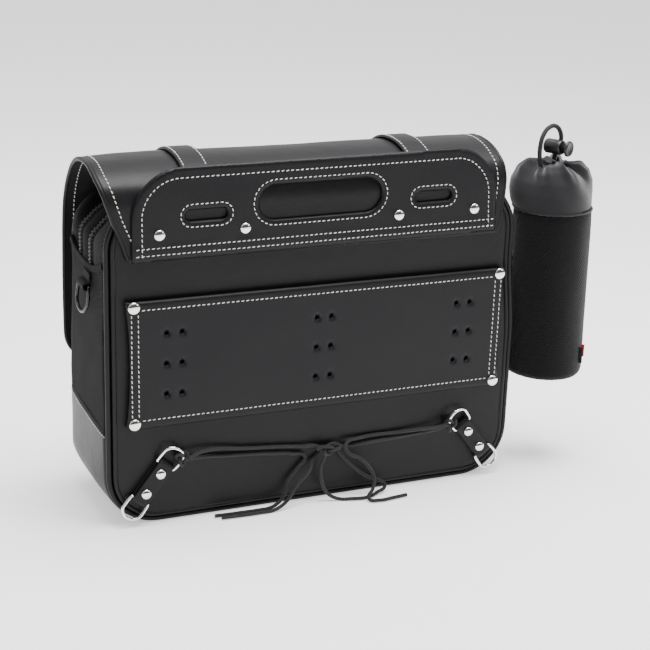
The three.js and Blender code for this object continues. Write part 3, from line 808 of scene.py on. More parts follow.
def make_body():
    outline = bag_outline(PANEL_INSET, PANEL_INSET)
    mesh = draw_in(plate("back_leather", outline, mounting_holes(), 4.0, back_surface, 4.5))
    back = place(mesh, "bag", LEATHER, ["back_panel"])
    thicken(back, 4.5, LINING)

    face = bag_outline(PANEL_INSET, PANEL_INSET, 8.5)
    mesh = plate("front_leather", face, [], 5.0, front_surface, 4.0, facing_back=False)
    front = place(mesh, "bag", LEATHER, ["front_panel", "front_top_panel"])
    thicken(front, 4.5, LINING)
    bending(front, "bag", "zip_front", *FOLD_BEND)

    rows = []
    for y, swell in zip(np.linspace(GUSSET_BACK, GUSSET_FRONT, 15), bowed(15)):
        line = run(0.6 - 1.6 * swell, BASE_RISE, True)
        above = line[:, 1] - LOWER_CORNER
        spread = above * (base_edge(y) - LOWER_CORNER) / (BASE_RISE - LOWER_CORNER)
        line[:, 1] = np.where(above > 0, LOWER_CORNER + spread, line[:, 1])
        row = []
        for x, z in line:
            wide = ripple((x, y, z), 40, 0.5) + foot_swell(y, z) * eased((abs(x) - 150) / 50)
            row.append((x * (1 + wide / HALF), y, z))
        rows.append(row)
    base = grid("base_leather", rows)
    thicken(place(base, "bag", LEATHER, ["base_gusset"]), 2.8, LINING, EDGE_TONE_AND_HIGHLIGHT)

    ys = np.linspace(GUSSET_BACK, GUSSET_FRONT, 19)
    for name, side in SIDES:
        rows = []
        for y in ys:
            heights = np.linspace(BASE_RISE - 3, np.interp(y, *SIDE_PATCH), 34)
            reach = [side_swell(y, z) + ripple((y, z, side), 30, 0.8) for z in heights]
            rows.append([(side * x, y, z) for x, z in zip(reach, heights)])
        mesh = draw_in(grid(f"side_fabric_{name}", rows, flip=side < 0))
        piece = place(mesh, "bag", SIDE_FABRIC, [f"side_gusset_{name}"])
        thicken(piece, 2.2, LINING)
        foot = [
            [(side * (HALF - 1.8), y, z) for z in (240, 248, 256, FOLD_Z + 1)]
            for y in np.linspace(MAIN_ZIP_Y + 3, GUSSET_FRONT, 6)
        ]
        mesh = grid(f"side_foot_{name}", foot, flip=side < 0)
        thicken(place(mesh, "bag", SIDE_FABRIC), 1.2, LINING)
        hem = [
            (side * (side_swell(y, z) + 0.6), y, z - 3)
            for y, z in zip(ys, np.interp(ys, *SIDE_PATCH))
        ]
        section = strap_section(7, 2.2)
        mesh = draw_in(sweep(f"side_hem_{name}", smooth_line(hem, 3), section, side=(0, 0, 1)))
        place(mesh, "bag", SIDE_FABRIC)

    make_top()
    make_piping()


def make_top():
    """The woven strips over the top between the two zips, and the zips' tapes and coils."""
    edges = [BACK + 8, EXPANDER_Y - ZIP_HALF, EXPANDER_Y + ZIP_HALF, MAIN_ZIP_Y - ZIP_HALF]
    bow = bowed(9, 2)
    level = np.full(9, TOP_SAG)
    sinking = np.linspace(2, TOP_SAG, 9)
    bands = (
        ("rear", edges[:2], 2.6 - 2.4 * bow, sinking, MESH_FABRIC),
        ("middle", edges[2:], 2.6 - 3.4 * bow, level, SIDE_FABRIC),
    )
    for name, ends, insets, sags, material in bands:
        mesh = draw_in(wrap(f"{name}_fabric", np.linspace(*ends, 9), insets, TOP_LOW, sags))
        thicken(place(mesh, "bag", material, [f"top_gusset_{name}"]), 2.0, LINING)
    for name, y, replaced in (("expander", EXPANDER_Y, ["expander_zip"]), ("main", MAIN_ZIP_Y, [])):
        ys, insets = np.linspace(y - 5.4, y + 5.4, 7), [3.2, 2.2, 1.8, 1.8, 1.8, 2.2, 3.2]
        tape = draw_in(wrap(f"{name}_tape", ys, insets, TOP_LOW, level, 0))
        thicken(place(tape, "bag", WEBBING, replaced, slot="zip_tape"), 1.2)
        place(draw_in(coil_mesh(f"{name}_coil", y)), "bag", COIL)
    ys = np.linspace(MAIN_ZIP_Y + ZIP_HALF, GUSSET_FRONT, 8)
    sags = TOP_SAG * np.array([1, 0.9, 0.65, 0.4, 0.2, 0.1, 0, 0])
    mesh = wrap("front_fabric", ys, [2.8, 1.2, 0.2, -0.4, -0.6, -0.4, 0.2, 0.8], FOLD_Z, sags)
    shear_front(mesh)
    piece = place(mesh, "zip_front", SIDE_FABRIC, ["front_top_gusset"])
    thicken(piece, 2.0, LINING)


def shear_front(mesh):
    """Leans the front edge of a strip back with the front panel and leaves its zip edge upright."""
    start, end = (MAIN_ZIP_Y + ZIP_HALF) * MM, GUSSET_FRONT * MM
    for v in mesh.vertices:
        share = min(max((v.co.y - start) / (end - start), 0), 1)
        p = leaned(np.array(v.co) / MM)
        v.co = Vector(v.co).lerp(Vector(p) * MM, share)


def coil_mesh(name, y):
    """A zip's coil: short threads across the tape, in two interlocking sets."""
    line = run(0.9, TOP_LOW, False)
    line[:, 1] -= [sag(x, z, TOP_SAG) for x, z in line]
    line = resample(line, 1.9)
    template, template_faces = stitch_template()
    template = template * np.array([1.5, 1.7, 1.9])
    out = np.gradient(line, axis=0)
    out = unit(np.stack([-out[:, 1], np.zeros(len(out)), out[:, 0]], 1))
    across = np.array([0.0, 1.0, 0.0])
    frames = []
    for k, ((x, z), normal) in enumerate(zip(line, out)):
        centre = np.array([x, y + (1.2 if k % 2 else -1.2), z]) + normal * 0.5
        frames.append((centre, [across, np.cross(normal, across), normal]))
    return stamped(name, template, template_faces, frames)


def make_piping():
    outline = resample(bag_outline(PIPING, 0), 4, closed=True)
    loop = np.array([(x, BACK + 3.6, z) for x, z in outline])
    mesh = draw_in(sweep("back_welt", loop, ring_section(PIPING), closed=True))
    place(mesh, "bag", LEATHER, ["back_piping"])
    seam = np.array([(x * 0.996, BACK + 7.4, (z - 160) * 0.996 + 160) for x, z in outline])
    mesh = draw_in(sweep("back_seam", seam, ring_section(1.9), closed=True))
    place(mesh, "bag", LEATHER)
    bead = resample(bag_outline(8.2, 6), 4, closed=True)
    bead = np.array([(x, BACK + 1.4, z) for x, z in bead])
    mesh = draw_in(sweep("back_bead", bead, ring_section(2.3), closed=True))
    place(mesh, "bag", LEATHER)
    loop = np.array([leaned(np.array([x, FRONT - 6, z])) for x, z in outline])
    mesh = sweep("front_welt", loop, ring_section(PIPING), closed=True)
    welt = place(mesh, "bag", LEATHER, ["front_piping", "front_top_piping"])
    bending(welt, "bag", "zip_front", *FOLD_BEND)


def mounting_holes():
    """Three groups of six small round holes in a row, through the panel and the leather behind."""
    middle = (PANEL_LOW[2] + PANEL_HIGH[2]) / 2
    return [
        arc(g * 150 + c * 7.5, middle + r * 30, HOLE_RADIUS, 0, 360, 12)[:-1]
        for g in (-1, 0, 1)
        for c in (-1, 1)
        for r in (-1, 0, 1)
    ]


make_body()


# ------------------------------------------------------------------ mounting panel and handle plate
def rivet(name, x, y, z, radius, replaces=(), body="bag"):
    """A domed nickel rivet with a thin rolled edge."""
    quarter = np.linspace(0, math.pi / 2, 12)
    dome = [(radius * math.cos(a), 0.4 + 2.5 * math.sin(a)) for a in quarter]
    profile = [(0, -1.2), (radius * 0.9, -1.2), (radius, -0.5), (radius + 0.05, 0)] + dome
    mesh = moved(lathe(name, profile, 36), shift(x, y, z) @ FACING_BACK)
    return place(mesh, body, NICKEL, replaces)


# The panel's rivets and stitch rows, measured from its middle.
PANEL_RIVET = (188.8, 57)
LONG_ROW = (182, 54)
END_ROWS, END_ROW_REACH = (184.6, 191), 51


def panel_surface(p):
    """Y of the mounting panel: stiff, with hollows between its pinched corners."""
    return PANEL_LOW[1] + 0.25 - 0.45 * hollows(p, 70, 50, 1.0)


def make_panel():
    low, high = PANEL_LOW, PANEL_HIGH
    outline = resample(rounded(high[0] - 2.4, low[2], high[2], 2, 2), 3, closed=True)
    middle = (low[2] + high[2]) / 2
    reach = (high[2] - low[2]) / 2
    pull = 4.0 * (1 - ((outline[:, 1] - middle) / reach) ** 2)
    at_end = np.abs(outline[:, 0]) > high[0] - 8
    outline[:, 0] -= np.sign(outline[:, 0]) * np.where(at_end, pull, 0)
    out, up = PANEL_RIVET
    rivets = [(sx * out, middle + sz * up) for sx in (-1, 1) for sz in (-1, 1)]
    mesh = plate("panel_leather", outline, mounting_holes(), 3.0, panel_surface, 1.2)
    piece = place(mesh, "bag", PLATE_LEATHER, ["mount_panel"])
    # The panel's rim takes the lighter edge leather: a painted highlight along its top edge.
    thicken(piece, 5.6, None, EDGE_TONE_AND_HIGHLIGHT)
    lines = []
    for side in (-1, 1):
        z = middle + side * LONG_ROW[1]
        lines.append([(-LONG_ROW[0], z), (LONG_ROW[0], z)])
        for x in END_ROWS:
            lines.append([(side * x, middle - END_ROW_REACH), (side * x, middle + END_ROW_REACH)])
    laid = [on_surface(resample(line, 4), panel_surface, OUT_BACK) for line in lines]
    stitch_rows("panel_stitches", [(line, OUT_BACK, False) for line in laid], "bag")
    names = ["lower_left", "upper_left", "lower_right", "upper_right"]
    for name, (x, z) in zip(names, rivets):
        rivet(f"panel_rivet_{name}", x, low[1] - 0.4, z, 5.8, [f"mount_rivet_{name}"])


def plate_surface(p):
    """Y of the handle plate, slightly wavy along its double seam."""
    x, z = p[:, 0], p[:, 1]
    soft = hollows(p, 60, 40, 5.0)
    seam = np.exp(-(((z - PLATE_LOW[2] - 9) / 5) ** 2))
    waves = np.array([noise(Vector((a / 22, 2.0, 8.0))) for a in x])
    return PLATE_LOW[1] + 0.2 - 0.5 * soft + seam * (0.5 * waves - 0.3)


HAND_HOLE = (PLATE_X - 2.5, 310, 62, 16.5)
STRAP_SLOTS = [(PLATE_X + x, 303.5, 20, 5.0) for x in (-115, 115)]
PLATE_ROWS = (6.2, 12.8)  # the double seam, above the plate's lower edge
PLATE_RIVETS = {"outer_left": -160, "outer_right": 160, "inner_left": -78, "inner_right": 78}
PLATE_RIVET_Z = 288


def plate_line(points):
    """The plate is sewn on a little askew, and its right side draws in towards the top."""
    x, z = np.asarray(points, float).T
    draw = 3.0 * np.clip((x - 100) / 60, 0, 1) * np.clip((z - 275) / 55, 0, 1)
    return np.stack([x - draw, z + 1.5 * (x - PLATE_X) / 187], 1)


def make_handle():
    low, high = PLATE_LOW, PLATE_HIGH
    half = (high[0] - low[0]) / 2
    outline = plate_line(rounded(half, low[2], high[2], 2.5, 47, PLATE_X, 18))
    holes = [plate_line(stadium(*hole)) for hole in (HAND_HOLE, *STRAP_SLOTS)]
    mesh = plate("handle_leather", outline, holes, 2.6, plate_surface, 1.5)
    piece = place(mesh, "bag", PLATE_LEATHER, ["handle_plate"])
    thicken(piece, 3.2, None, EDGE_TONE_AND_HIGHLIGHT)
    border = rounded(half - 9.5, low[2] + 4, high[2] - 10, 1, 36, PLATE_X, 18)
    border = np.concatenate([border[26:], border[:13]])
    lines = [(border, False)]
    for above in PLATE_ROWS:
        z = low[2] + above
        lines.append((np.array([(low[0] + 3, z), (high[0] - 3, z)]), False))
    lines.append((stadium(HAND_HOLE[0], HAND_HOLE[1], 67.5, 21.5), True))
    lines += [(stadium(x, z, 25, 10.6), True) for x, z, _, _ in STRAP_SLOTS]
    rows = []
    for line, closed in lines:
        dense = plate_line(resample(line, 3, closed))
        rows.append((on_surface(dense, plate_surface, OUT_BACK), OUT_BACK, closed))
    stitch_rows("handle_stitches", rows, "bag")
    for name, offset in PLATE_RIVETS.items():
        (x, z), = plate_line([(PLATE_X + offset, PLATE_RIVET_Z)])
        rivet(f"handle_rivet_{name}", x, low[1] - 0.3, z, 5.3, [f"plate_rivet_{name}"])


make_panel()
make_handle()

# ------------------------------------------------------------------ flap and straps
FLAP_LINE = [
    (-60.3, 261), (-60.3, 282), (-60.3, 301), (-60.2, 316), (-55.5, 329), (-46, 337),
    (-33.5, 342.5), (-19, 346.2), (-2, 347.4), (16, 346), (33, 340.5), (48, 329.5), (62, 312),
    (73, 290), (79, 262), (82, 225), (83, 180), (83, 160), (82, 130), (81, 110), (81, 62),
]
FLAP_END = box("flap_cover")[0][2] - 8
FLAP_THICK = 3.4
PROFILE_STEP = 3.0
FLAP_CORNER = 30
FLAP_BEND = ((0, -50, 340), (0, -14, 340))
SEAM_INSET = 8.5
# Each end of the flap, by the distance along its profile from the handle plate's lower edge: its
# distance from the middle, and how far it droops.
END_STEPS = [0, 21, 40, 55, 70, 83, 96, 111, 128, 147, 165, 184, 207, 231]
END_SHAPES = {
    -1: (
        [191, 198, 206, 211, 215, 217, 217.5, 217.5, 217.5, 217.5, 217.5, 217.5, 217.5, 217.5],
        [0, 0, 0, 0, 0, 0, 0, 0, 1, 2, 3, 3, 1, 0],
    ),
    1: (
        [185, 187.5, 189.5, 190, 189.5, 189, 189.5, 189.5, 190, 190.5, 191, 191, 191, 191],
        [0] * 14,
    ),
}


def flap_profile():
    """The flap's outer line in Y, Z, with its outward normals and the steps at its two ends."""
    line = resample(smooth_line(FLAP_LINE, 12), PROFILE_STEP)
    end = np.argmax((line[:, 0] > 40) & (line[:, 1] < FLAP_END))
    tangent = unit(np.gradient(line, axis=0))
    return line, np.stack([-tangent[:, 1], tangent[:, 0]], 1), end


PROFILE, PROFILE_OUT, HEM = flap_profile()


def flap_point(k, u, lift=0.0):
    """The flap's outer surface at profile step k, u from -1 at its left end to 1 at its right."""
    (y, z), (ny, nz) = PROFILE[k], PROFILE_OUT[k]
    shapes = END_SHAPES[-1 if u < 0 else 1]
    reach, droop = (np.interp(PROFILE_STEP * k, END_STEPS, shape) for shape in shapes)
    near_hem = np.clip((FLAP_END + FLAP_CORNER - z) / FLAP_CORNER, 0, 1) if y > 0 else 0
    reach -= FLAP_CORNER * (1 - math.sqrt(1 - near_hem**2))
    x = u * reach
    end = max(0.0, (abs(x) - 176) / (reach - 176)) ** 1.5
    wave = ripple((x, z, y), 75, 1.1) + ripple((x, z, y), 28, 0.25, 4.0)
    depth = lift + wave * (0.3 if y < 0 else 1.0)
    return np.array([x, y + ny * depth, z + nz * depth - droop * end])


def make_flap():
    ends = np.linspace(0.8, 1, 14)
    us = np.concatenate([-ends[::-1], np.linspace(-0.8, 0.8, 44)[1:-1], ends])
    rows = [[flap_point(k, u) for u in us] for k in range(HEM)]
    mesh = grid("flap_leather", rows, flip=True)
    piece = place(mesh, "bag", LEATHER, ["flap_back", "flap_cover"])
    thicken(piece, FLAP_THICK, LINING, EDGE_TONE_AND_HIGHLIGHT)
    bending(piece, "bag", "flap", *FLAP_BEND)
    make_flap_rim()
    first, inner, last = 5, 28, HEM - 8
    rows = []
    for side in (-1, 1):
        normal = np.array([(0, *PROFILE_OUT[k]) for k in range(first, last)])
        line = np.array([edge_point(k, side) for k in range(first, last)])
        rows.append((line, normal, False))
        line = np.array([edge_point(k, side, -FLAP_THICK - 0.2) for k in range(inner, last)])
        rows.append((line, -normal[inner - first:], False))
    hem = np.array([flap_point(HEM - 4, u) for u in np.linspace(-0.98, 0.98, 80)])
    rows.append((hem, (0, *PROFILE_OUT[HEM - 4]), False))
    stitches = stitch_rows("flap_stitches", rows, "bag")
    bending(stitches, "bag", "flap", *FLAP_BEND)


def make_flap_rim():
    """The turned-over edge of the leather: a soft bead round the flap's three free sides."""
    lift = -FLAP_THICK / 2
    left = [flap_point(k, -1, lift) for k in range(1, HEM)]
    hem = [flap_point(HEM - 1, u, lift) for u in np.linspace(-1, 1, 90)]
    right = [flap_point(k, 1, lift) for k in range(HEM - 1, 0, -1)]
    path = resample(left + hem + right, 2.5)
    mesh = sweep("flap_rim", path, ring_section(FLAP_THICK / 2 + 0.5, 10))
    rim = place(mesh, "bag", LEATHER)
    bending(rim, "bag", "flap", *FLAP_BEND)


def edge_point(k, side, lift=0.0):
    """A point of the flap's surface on the stitch row along one end."""
    half = abs(flap_point(k, side)[0])
    return flap_point(k, side * (half - SEAM_INSET) / half, lift)


STRAP_THICK = 2.8
STRAP_ROW = 10.8
STRAP_RISE = (38, 16)  # the step where the strap stands off the flap most, and how far that spreads


def strap_point(x, k, lift):
    """A point over the flap's profile step k."""
    return (x, *(PROFILE[k] + PROFILE_OUT[k] * lift))


def make_straps():
    first = np.argmax(PROFILE[:, 1] > PLATE_HIGH[2] - 20)
    crest, spread = STRAP_RISE
    for name, x in STRAP_PLACES.items():
        steps = range(first, len(PROFILE))
        lifts = [0.4 + 0.6 * math.exp(-(((k - crest) / spread) ** 2)) for k in steps]
        path = [strap_point(x, k, STRAP_THICK / 2 + lift) for k, lift in zip(steps, lifts)]
        section = strap_section(2 * STRAP_HALF, STRAP_THICK)
        mesh = sweep(f"strap_leather_{name}", path, section, side=(1, 0, 0))
        piece = place(mesh, "bag", LEATHER, [f"strap_{name}"])
        bending(piece, "bag", "flap", *FLAP_BEND)
        rows = []
        for offset in (-STRAP_ROW, STRAP_ROW):
            inner = list(zip(steps, lifts))[1:-1]
            line = [strap_point(x + offset, k, STRAP_THICK + 0.1 + lift) for k, lift in inner]
            rows.append((line, [(0, *PROFILE_OUT[k]) for k, _ in inner], False))
        stitches = stitch_rows(f"strap_stitches_{name}", rows, "bag")
        bending(stitches, "bag", "flap", *FLAP_BEND)
        make_keeper(name, x)


KEEPER_Z = 84


def make_keeper(name, x):
    """The loop that holds the strap's end below its buckle."""
    y = box(f"strap_{name}")[1][1] + 0.8
    half = STRAP_HALF + 2.2
    front, back = y + 1.2, y - 4.6
    corners = [(x - half, back), (x + half, back), (x + half, front), (x - half, front)]
    loop = round_corners([(a, b, KEEPER_Z) for a, b in corners], 3)
    mesh = sweep(f"keeper_{name}", loop, strap_section(9, 1.6), side=(0, 0, 1), closed=True)
    place(mesh, "flap", LEATHER)


def make_buckles():
    for name in ("left", "right"):
        low, high = box(f"buckle_frame_{name}")
        y = (low[1] + high[1]) / 2
        r = (high[1] - low[1]) / 2
        corners = [
            (low[0] + r, y, low[2] + r), (high[0] - r, y, low[2] + r),
            (high[0] - r, y, high[2] - r), (low[0] + r, y, high[2] - r),
        ]
        dense = []
        for a, b in zip(np.array(corners), np.roll(corners, -1, axis=0)):
            dense += [a, a + (b - a) * 0.18, a + (b - a) * 0.82]
        loop = round_corners(dense, 3)
        mesh = sweep(f"buckle_wire_{name}", loop, ring_section(r, 16), closed=True)
        place(mesh, f"buckle_{name}", NICKEL, [f"buckle_frame_{name}"])
        low, high = box(f"buckle_prong_{name}")
        x = (low[0] + high[0]) / 2
        path = [
            (x, high[1] - 3.2, high[2]), (x, high[1] - 1.4, high[2] - 8),
            (x, high[1] - 1.5, (low[2] + high[2]) / 2), (x, high[1] - 1.5, low[2]),
        ]
        mesh = sweep(f"prong_{name}_wire", smooth_line(path, 6), ring_section(1.5, 12))
        place(mesh, f"prong_{name}", NICKEL, [f"buckle_prong_{name}"])


make_flap()
make_straps()
make_buckles()

# ------------------------------------------------------------------ corner tabs, rings
TAB_ANGLE = math.radians(52.5)
TAB_CENTRE = (171.4, 43.8)
TAB_Y = -61.7
BAR_REACH = 20.5
TAB_RIVET_REACH = 11.7


def corner_axes(side):
    """A corner tab's long axis, its cross axis and its centre, on the left (-1) or right (1)."""
    u = np.array([-side * math.cos(TAB_ANGLE), 0, math.sin(TAB_ANGLE)])
    v = np.array([side * math.sin(TAB_ANGLE), 0, math.cos(TAB_ANGLE)])
    return u, v, np.array([side * TAB_CENTRE[0], 0, TAB_CENTRE[1]])


def d_loop(bar, reach, origin, out, along):
    """A D-ring's centre line: a straight bar and a round end."""
    r = bar * 1.12
    bend = arc(reach - r, 0, r, 70, -70, 8)
    straight = [(0, k * bar) for k in (-1, -0.8, 0, 0.8, 1)]
    return round_corners([origin + out * u + along * v for u, v in [*straight, *bend]], 3)


def make_corner_tabs():
    y_axis = np.array([0, 1.0, 0])
    for name, side in SIDES:
        u, v, centre = corner_axes(side)
        ends = [arc(BAR_REACH, 0, 3.5, 90, -90, 10), arc(-BAR_REACH, 0, 3.5, 270, 90, 10)]
        profile = resample(np.concatenate(ends), 1.6, closed=True)
        points = [centre + u * a + y_axis * (TAB_Y + 0.9 + b * 0.85) for a, b in profile]
        section = strap_section(17, 2.0, 0.15)
        mesh = sweep(f"corner_strap_{name}", points, section, side=v, closed=True)
        place(mesh, "bag", LEATHER, [f"corner_tab_{name}"])
        for k, way in enumerate((1, -1)):
            p = centre + u * way * TAB_RIVET_REACH
            rivet(f"tab_rivet_{name}_{k + 1}", p[0], TAB_Y - 3.6, p[2], 5.0)
        for level, way, tilt in (("upper", 1, math.radians(12)), ("lower", -1, 0.0)):
            bar = centre + u * way * BAR_REACH + y_axis * TAB_Y
            out = u * way * math.cos(tilt) - y_axis * math.sin(tilt)
            loop = d_loop(10.2, 21, bar, out, v)
            body = "bag" if level == "upper" else f"ring_lower_{name}"
            mesh = sweep(f"d_ring_{level}_{name}", loop, ring_section(1.5, 14), closed=True)
            place(mesh, body, NICKEL, [f"corner_ring_{level}_{name}"])


SIDE_WIRE_CAD = 1.9  # radius of the side rings' wire in the CAD
SIDE_BAR_OUT = {"left": 5.6, "right": 4.4}
SIDE_FOLD = 3.6


def make_side_hardware():
    for name, side in SIDES:
        low, high = box(f"side_ring_{name}")
        x = side * (HALF + GAP + SIDE_BAR_OUT[name])
        y = (low[1] + high[1]) / 2
        bar_z = high[2] - SIDE_WIRE_CAD + 2
        along = np.array([side * 0.1, 0.99, 0])
        loop = d_loop(14, 26, np.array([x, y, bar_z]), np.array([side * 0.12, 0, -1.0]), along)
        body = "ring_side_left" if name == "left" else "bottle_holder"
        mesh = sweep(f"side_d_ring_{name}", loop, ring_section(1.6, 14), closed=True)
        place(mesh, body, BLACK_METAL, [f"side_ring_{name}"])
        turn = [
            (x + side * SIDE_FOLD * math.cos(a), bar_z + SIDE_FOLD * math.sin(a))
            for a in np.linspace(2.2, -2.0, 8)
        ]
        path = [
            (x - side * 3, bar_z + 13), (x - side * 2.8, bar_z + 8), *turn,
            (x - side * SIDE_FOLD, bar_z + 2), (x - side * 3.9, bar_z + 8),
        ]
        dense = smooth_line([(p, y, q) for p, q in path], 3)
        mesh = sweep(f"side_strap_{name}", dense, strap_section(22, 1.5, 0.1), side=(0, 1, 0))
        place(mesh, "bag", WEBBING, [f"side_tab_{name}"])


make_corner_tabs()
make_side_hardware()


# ------------------------------------------------------------------ bottle holder
SEAM_Z = 278


def round_holder(angle, r, z):
    """A point round the holder's axis, which hangs slightly out of plumb."""
    x = HOLDER[0] + np.interp(z, [CUP_LOW[2], SEAM_Z], [2.0, -1.5])
    return (x + r * math.cos(angle), HOLDER[1] + r * math.sin(angle), z)


def cup_point(angle, z):
    """The cup's wall, slightly slack between its foam panels."""
    t = (z - CUP_LOW[2]) / (SEAM_Z - CUP_LOW[2])
    below = max(0.0, 1 - (z - CUP_LOW[2]) / 7)
    r = 41.4 - 1.6 * t - 4.0 * below**2 + 0.5 * math.sin(3 * angle + 4 * t)
    r += 0.45 * noise(Vector((math.cos(angle) * 2, math.sin(angle) * 2, z / 35)))
    return round_holder(angle, r, z)


COLLAR_STEPS = [0, 0.12, 0.3, 0.5, 0.68, 0.82, 0.93, 1.0]
COLLAR_RADII = [40.6, 41.2, 40.6, 38.4, 33.5, 26.5, 17.0, 9.0]
COLLAR_LEAN = math.radians(148)  # the side to which the slack collar falls


def collar_point(angle, t):
    """The gathered collar: folds that deepen towards the drawn neck."""
    z = SEAM_Z - 2 + np.interp(t, [0, 0.3, 0.5, 0.7, 0.85, 1.0], [0, 18, 30, 41, 46.5, 45])
    a = angle + 0.5 * t**2
    deep = np.clip((t - 0.1) / 0.6, 0, 1) ** 1.3
    big = math.cos(4 * a + 0.7) + 0.8 * math.cos(7 * a + 2.1 + 1.5 * t)
    small = 0.6 * math.cos(13 * a + 1.1) + 0.35 * math.cos(21 * a + 0.4)
    crumple = noise(Vector((math.cos(a) * 2.2, math.sin(a) * 2.2, t * 3)))
    near_top = np.clip((t - 0.5) / 0.35, 0, 1)
    r = np.interp(t, COLLAR_STEPS, COLLAR_RADII)
    r = r + deep * (2.1 * big + 2.0 * crumple) + near_top * 1.9 * small
    z += deep * (1.6 * big * t - 1.2 * crumple) + near_top * (1.9 * small + 1.4 * math.cos(4 * a))
    lean = math.cos(angle - COLLAR_LEAN)
    slack = math.sin(math.pi * np.clip(t * 1.2, 0, 1))
    r += 5.5 * max(lean, 0) ** 2 * slack - 1.5 * max(-lean, 0) ** 2
    return round_holder(angle, r, z)


def make_holder():
    angles = round_turn(120)
    low = CUP_LOW[2]
    foot = low + np.array([0.4, 1.2, 2.6, 4.5, 7, 10])
    heights = np.concatenate([foot, np.linspace(low + 16, SEAM_Z + 1, 34)])
    rings = ((0.01, 0.6), (12, 0.5), (24, 0.3), (31, 0.1))
    bottom = [[round_holder(a, r, low + h) for a in angles] for r, h in rings]
    wall = [[cup_point(a, z) for a in angles] for z in heights]
    mesh = merge_close(grid("cup_fabric", bottom + wall, closed_v=True, flip=True))
    piece = place(mesh, "bottle_holder", DOBBY, ["holder_cup"])
    thicken(piece, 2.8, LINING)

    turns = round_turn(240)
    gathers = [[collar_point(a, t) for a in turns] for t in np.linspace(0, 1, 40)]
    mesh = grid("collar_fabric", gathers, closed_v=True, flip=True)
    piece = place(mesh, "bottle_holder", TAFFETA, ["holder_collar"])
    thicken(piece, 0.9, LINING)

    ring = [round_holder(a, COLLAR_RADII[0], SEAM_Z - 1.6) for a in angles]
    mesh = sweep("collar_seam", ring, ring_section(0.9, 8), side=(0, 0, 1), closed=True)
    place(mesh, "bottle_holder", TAFFETA)
    make_hanger()
    make_tags()


def make_hanger():
    """The webbing loop that hangs the holder on the right side ring."""
    low, high = box("holder_hanger")
    x = (low[0] + high[0]) / 2 - 0.5
    y = (low[1] + high[1]) / 2
    top = high[2] - 1.4
    turn = [
        (x + 3.2 * math.cos(a), y, top - 3.2 + 3.2 * math.sin(a)) for a in np.linspace(0.2, 2.9, 7)
    ]
    path = [
        (x + 3.4, y, low[2]), (x + 3.4, y, top - 8), *turn,
        (x - 3.4, y, top - 8), (x - 3.0, y, low[2] + 6), (x + 1.6, y, low[2] + 1),
    ]
    section = strap_section(16, 1.4, 0.1)
    mesh = sweep("hanger_webbing", smooth_line(path, 3), section, side=(0, 1, 0))
    place(mesh, "bottle_holder", WEBBING, ["holder_hanger"])


def make_tags():
    """Two plain folded tags sewn into the cup's side seam, the red one further out."""
    for name, turn, material, reach, half, z in (
        ("black", -1.02, WEBBING, 4.2, 8.5, 123.5),
        ("red", -0.84, RED, 3.4, 6.5, 126.5),
    ):
        foot = np.array(cup_point(turn, z))
        out = np.array([math.cos(turn), math.sin(turn), 0])
        rows = [
            [foot + out * reach * s + (0, 0, h) for h in np.linspace(-half, half, 8)]
            for s in np.linspace(-0.2, 1, 6)
        ]
        piece = place(grid(f"{name}_tag", rows), "bottle_holder", material)
        thicken(piece, 0.9)


LOCK_PLACE = (261, HOLDER[1], 338.5)
LOCK_TURN = math.radians(-62)


def make_cord_lock():
    turn = Matrix.Rotation(LOCK_TURN, 4, "Z") @ Matrix.Rotation(math.pi / 2, 4, "Y")
    where = shift(*LOCK_PLACE) @ turn
    barrel = [
        (0, -10), (4.8, -10), (6.6, -9.6), (7.3, -8.6), (7.5, -7), (7.5, 7.6), (7.3, 8.6),
        (6.4, 9.2), (5.9, 9.0), (5.7, 4),
    ]
    mesh = moved(lathe("lock_barrel", barrel, 40), where)
    place(mesh, "bottle_holder", PLASTIC, ["cord_lock_barrel"])
    button = [
        (0, 2), (5.3, 2), (5.3, 13.5), (7.2, 14.5), (7.9, 15.1), (8.0, 16.4), (7.6, 17.5),
        (6.6, 18), (6.0, 17.5), (0, 17.3),
    ]
    mesh = moved(lathe("lock_button_cap", button, 40), where)
    place(mesh, "lock_button", PLASTIC, ["cord_lock_button"])
    route = [
        (242.5, -39, 319), (239, -40.5, 331), (239, -40.5, 343), (243, -38.5, 353), (251, -35, 359),
        (260, -32.5, 359.5), (266.5, -31.5, 353), (267.5, -32, 344), (264, -32, 336),
        (261, -32, 325),
    ]
    cord_curve("drawcord_loop", route, DRAW, "bottle_holder", ["drawcord"])


make_holder()
make_cord_lock()


# ------------------------------------------------------------------ front pocket, magnets, sliders
def make_front():
    low, high = box("front_pocket")

    def surface(p):
        return high[1] - 0.6 + 0.5 * hollows(p, 60, 50, 11.0)

    outline = rounded(high[0], low[2], high[2], 18, 6)
    mesh = plate("pocket_leather", outline, [], 5.0, surface, 4.0, facing_back=False)
    piece = place(mesh, "bag", LEATHER, ["front_pocket"])
    thicken(piece, high[1] - low[1] - 1.2)
    border = resample(rounded(high[0] - 6, low[2] + 6, high[2] - 6, 14, 4), 3, closed=True)
    rows = [(on_surface(border, surface, OUT_FRONT), OUT_FRONT, True)]
    stitch_rows("pocket_stitches", rows, "bag")
    for name in ("left", "right"):
        for node, body in ((f"magnet_{name}", "flap"), (f"magnet_base_{name}", "bag")):
            lo, hi = box(node)
            mid = (lo + hi) / 2
            depth = (hi[1] - lo[1]) / 2
            r = (hi[0] - lo[0]) / 2
            profile = [
                (0, -depth), (r - 0.6, -depth), (r, -depth + 0.5), (r, depth - 0.5),
                (r - 0.6, depth), (r * 0.55, depth), (r * 0.5, depth - 0.4), (0, depth - 0.4),
            ]
            mesh = moved(lathe(node + "_disc", profile), shift(*mid) @ FACING_BACK)
            place(mesh, body, BLACK_METAL, [node])


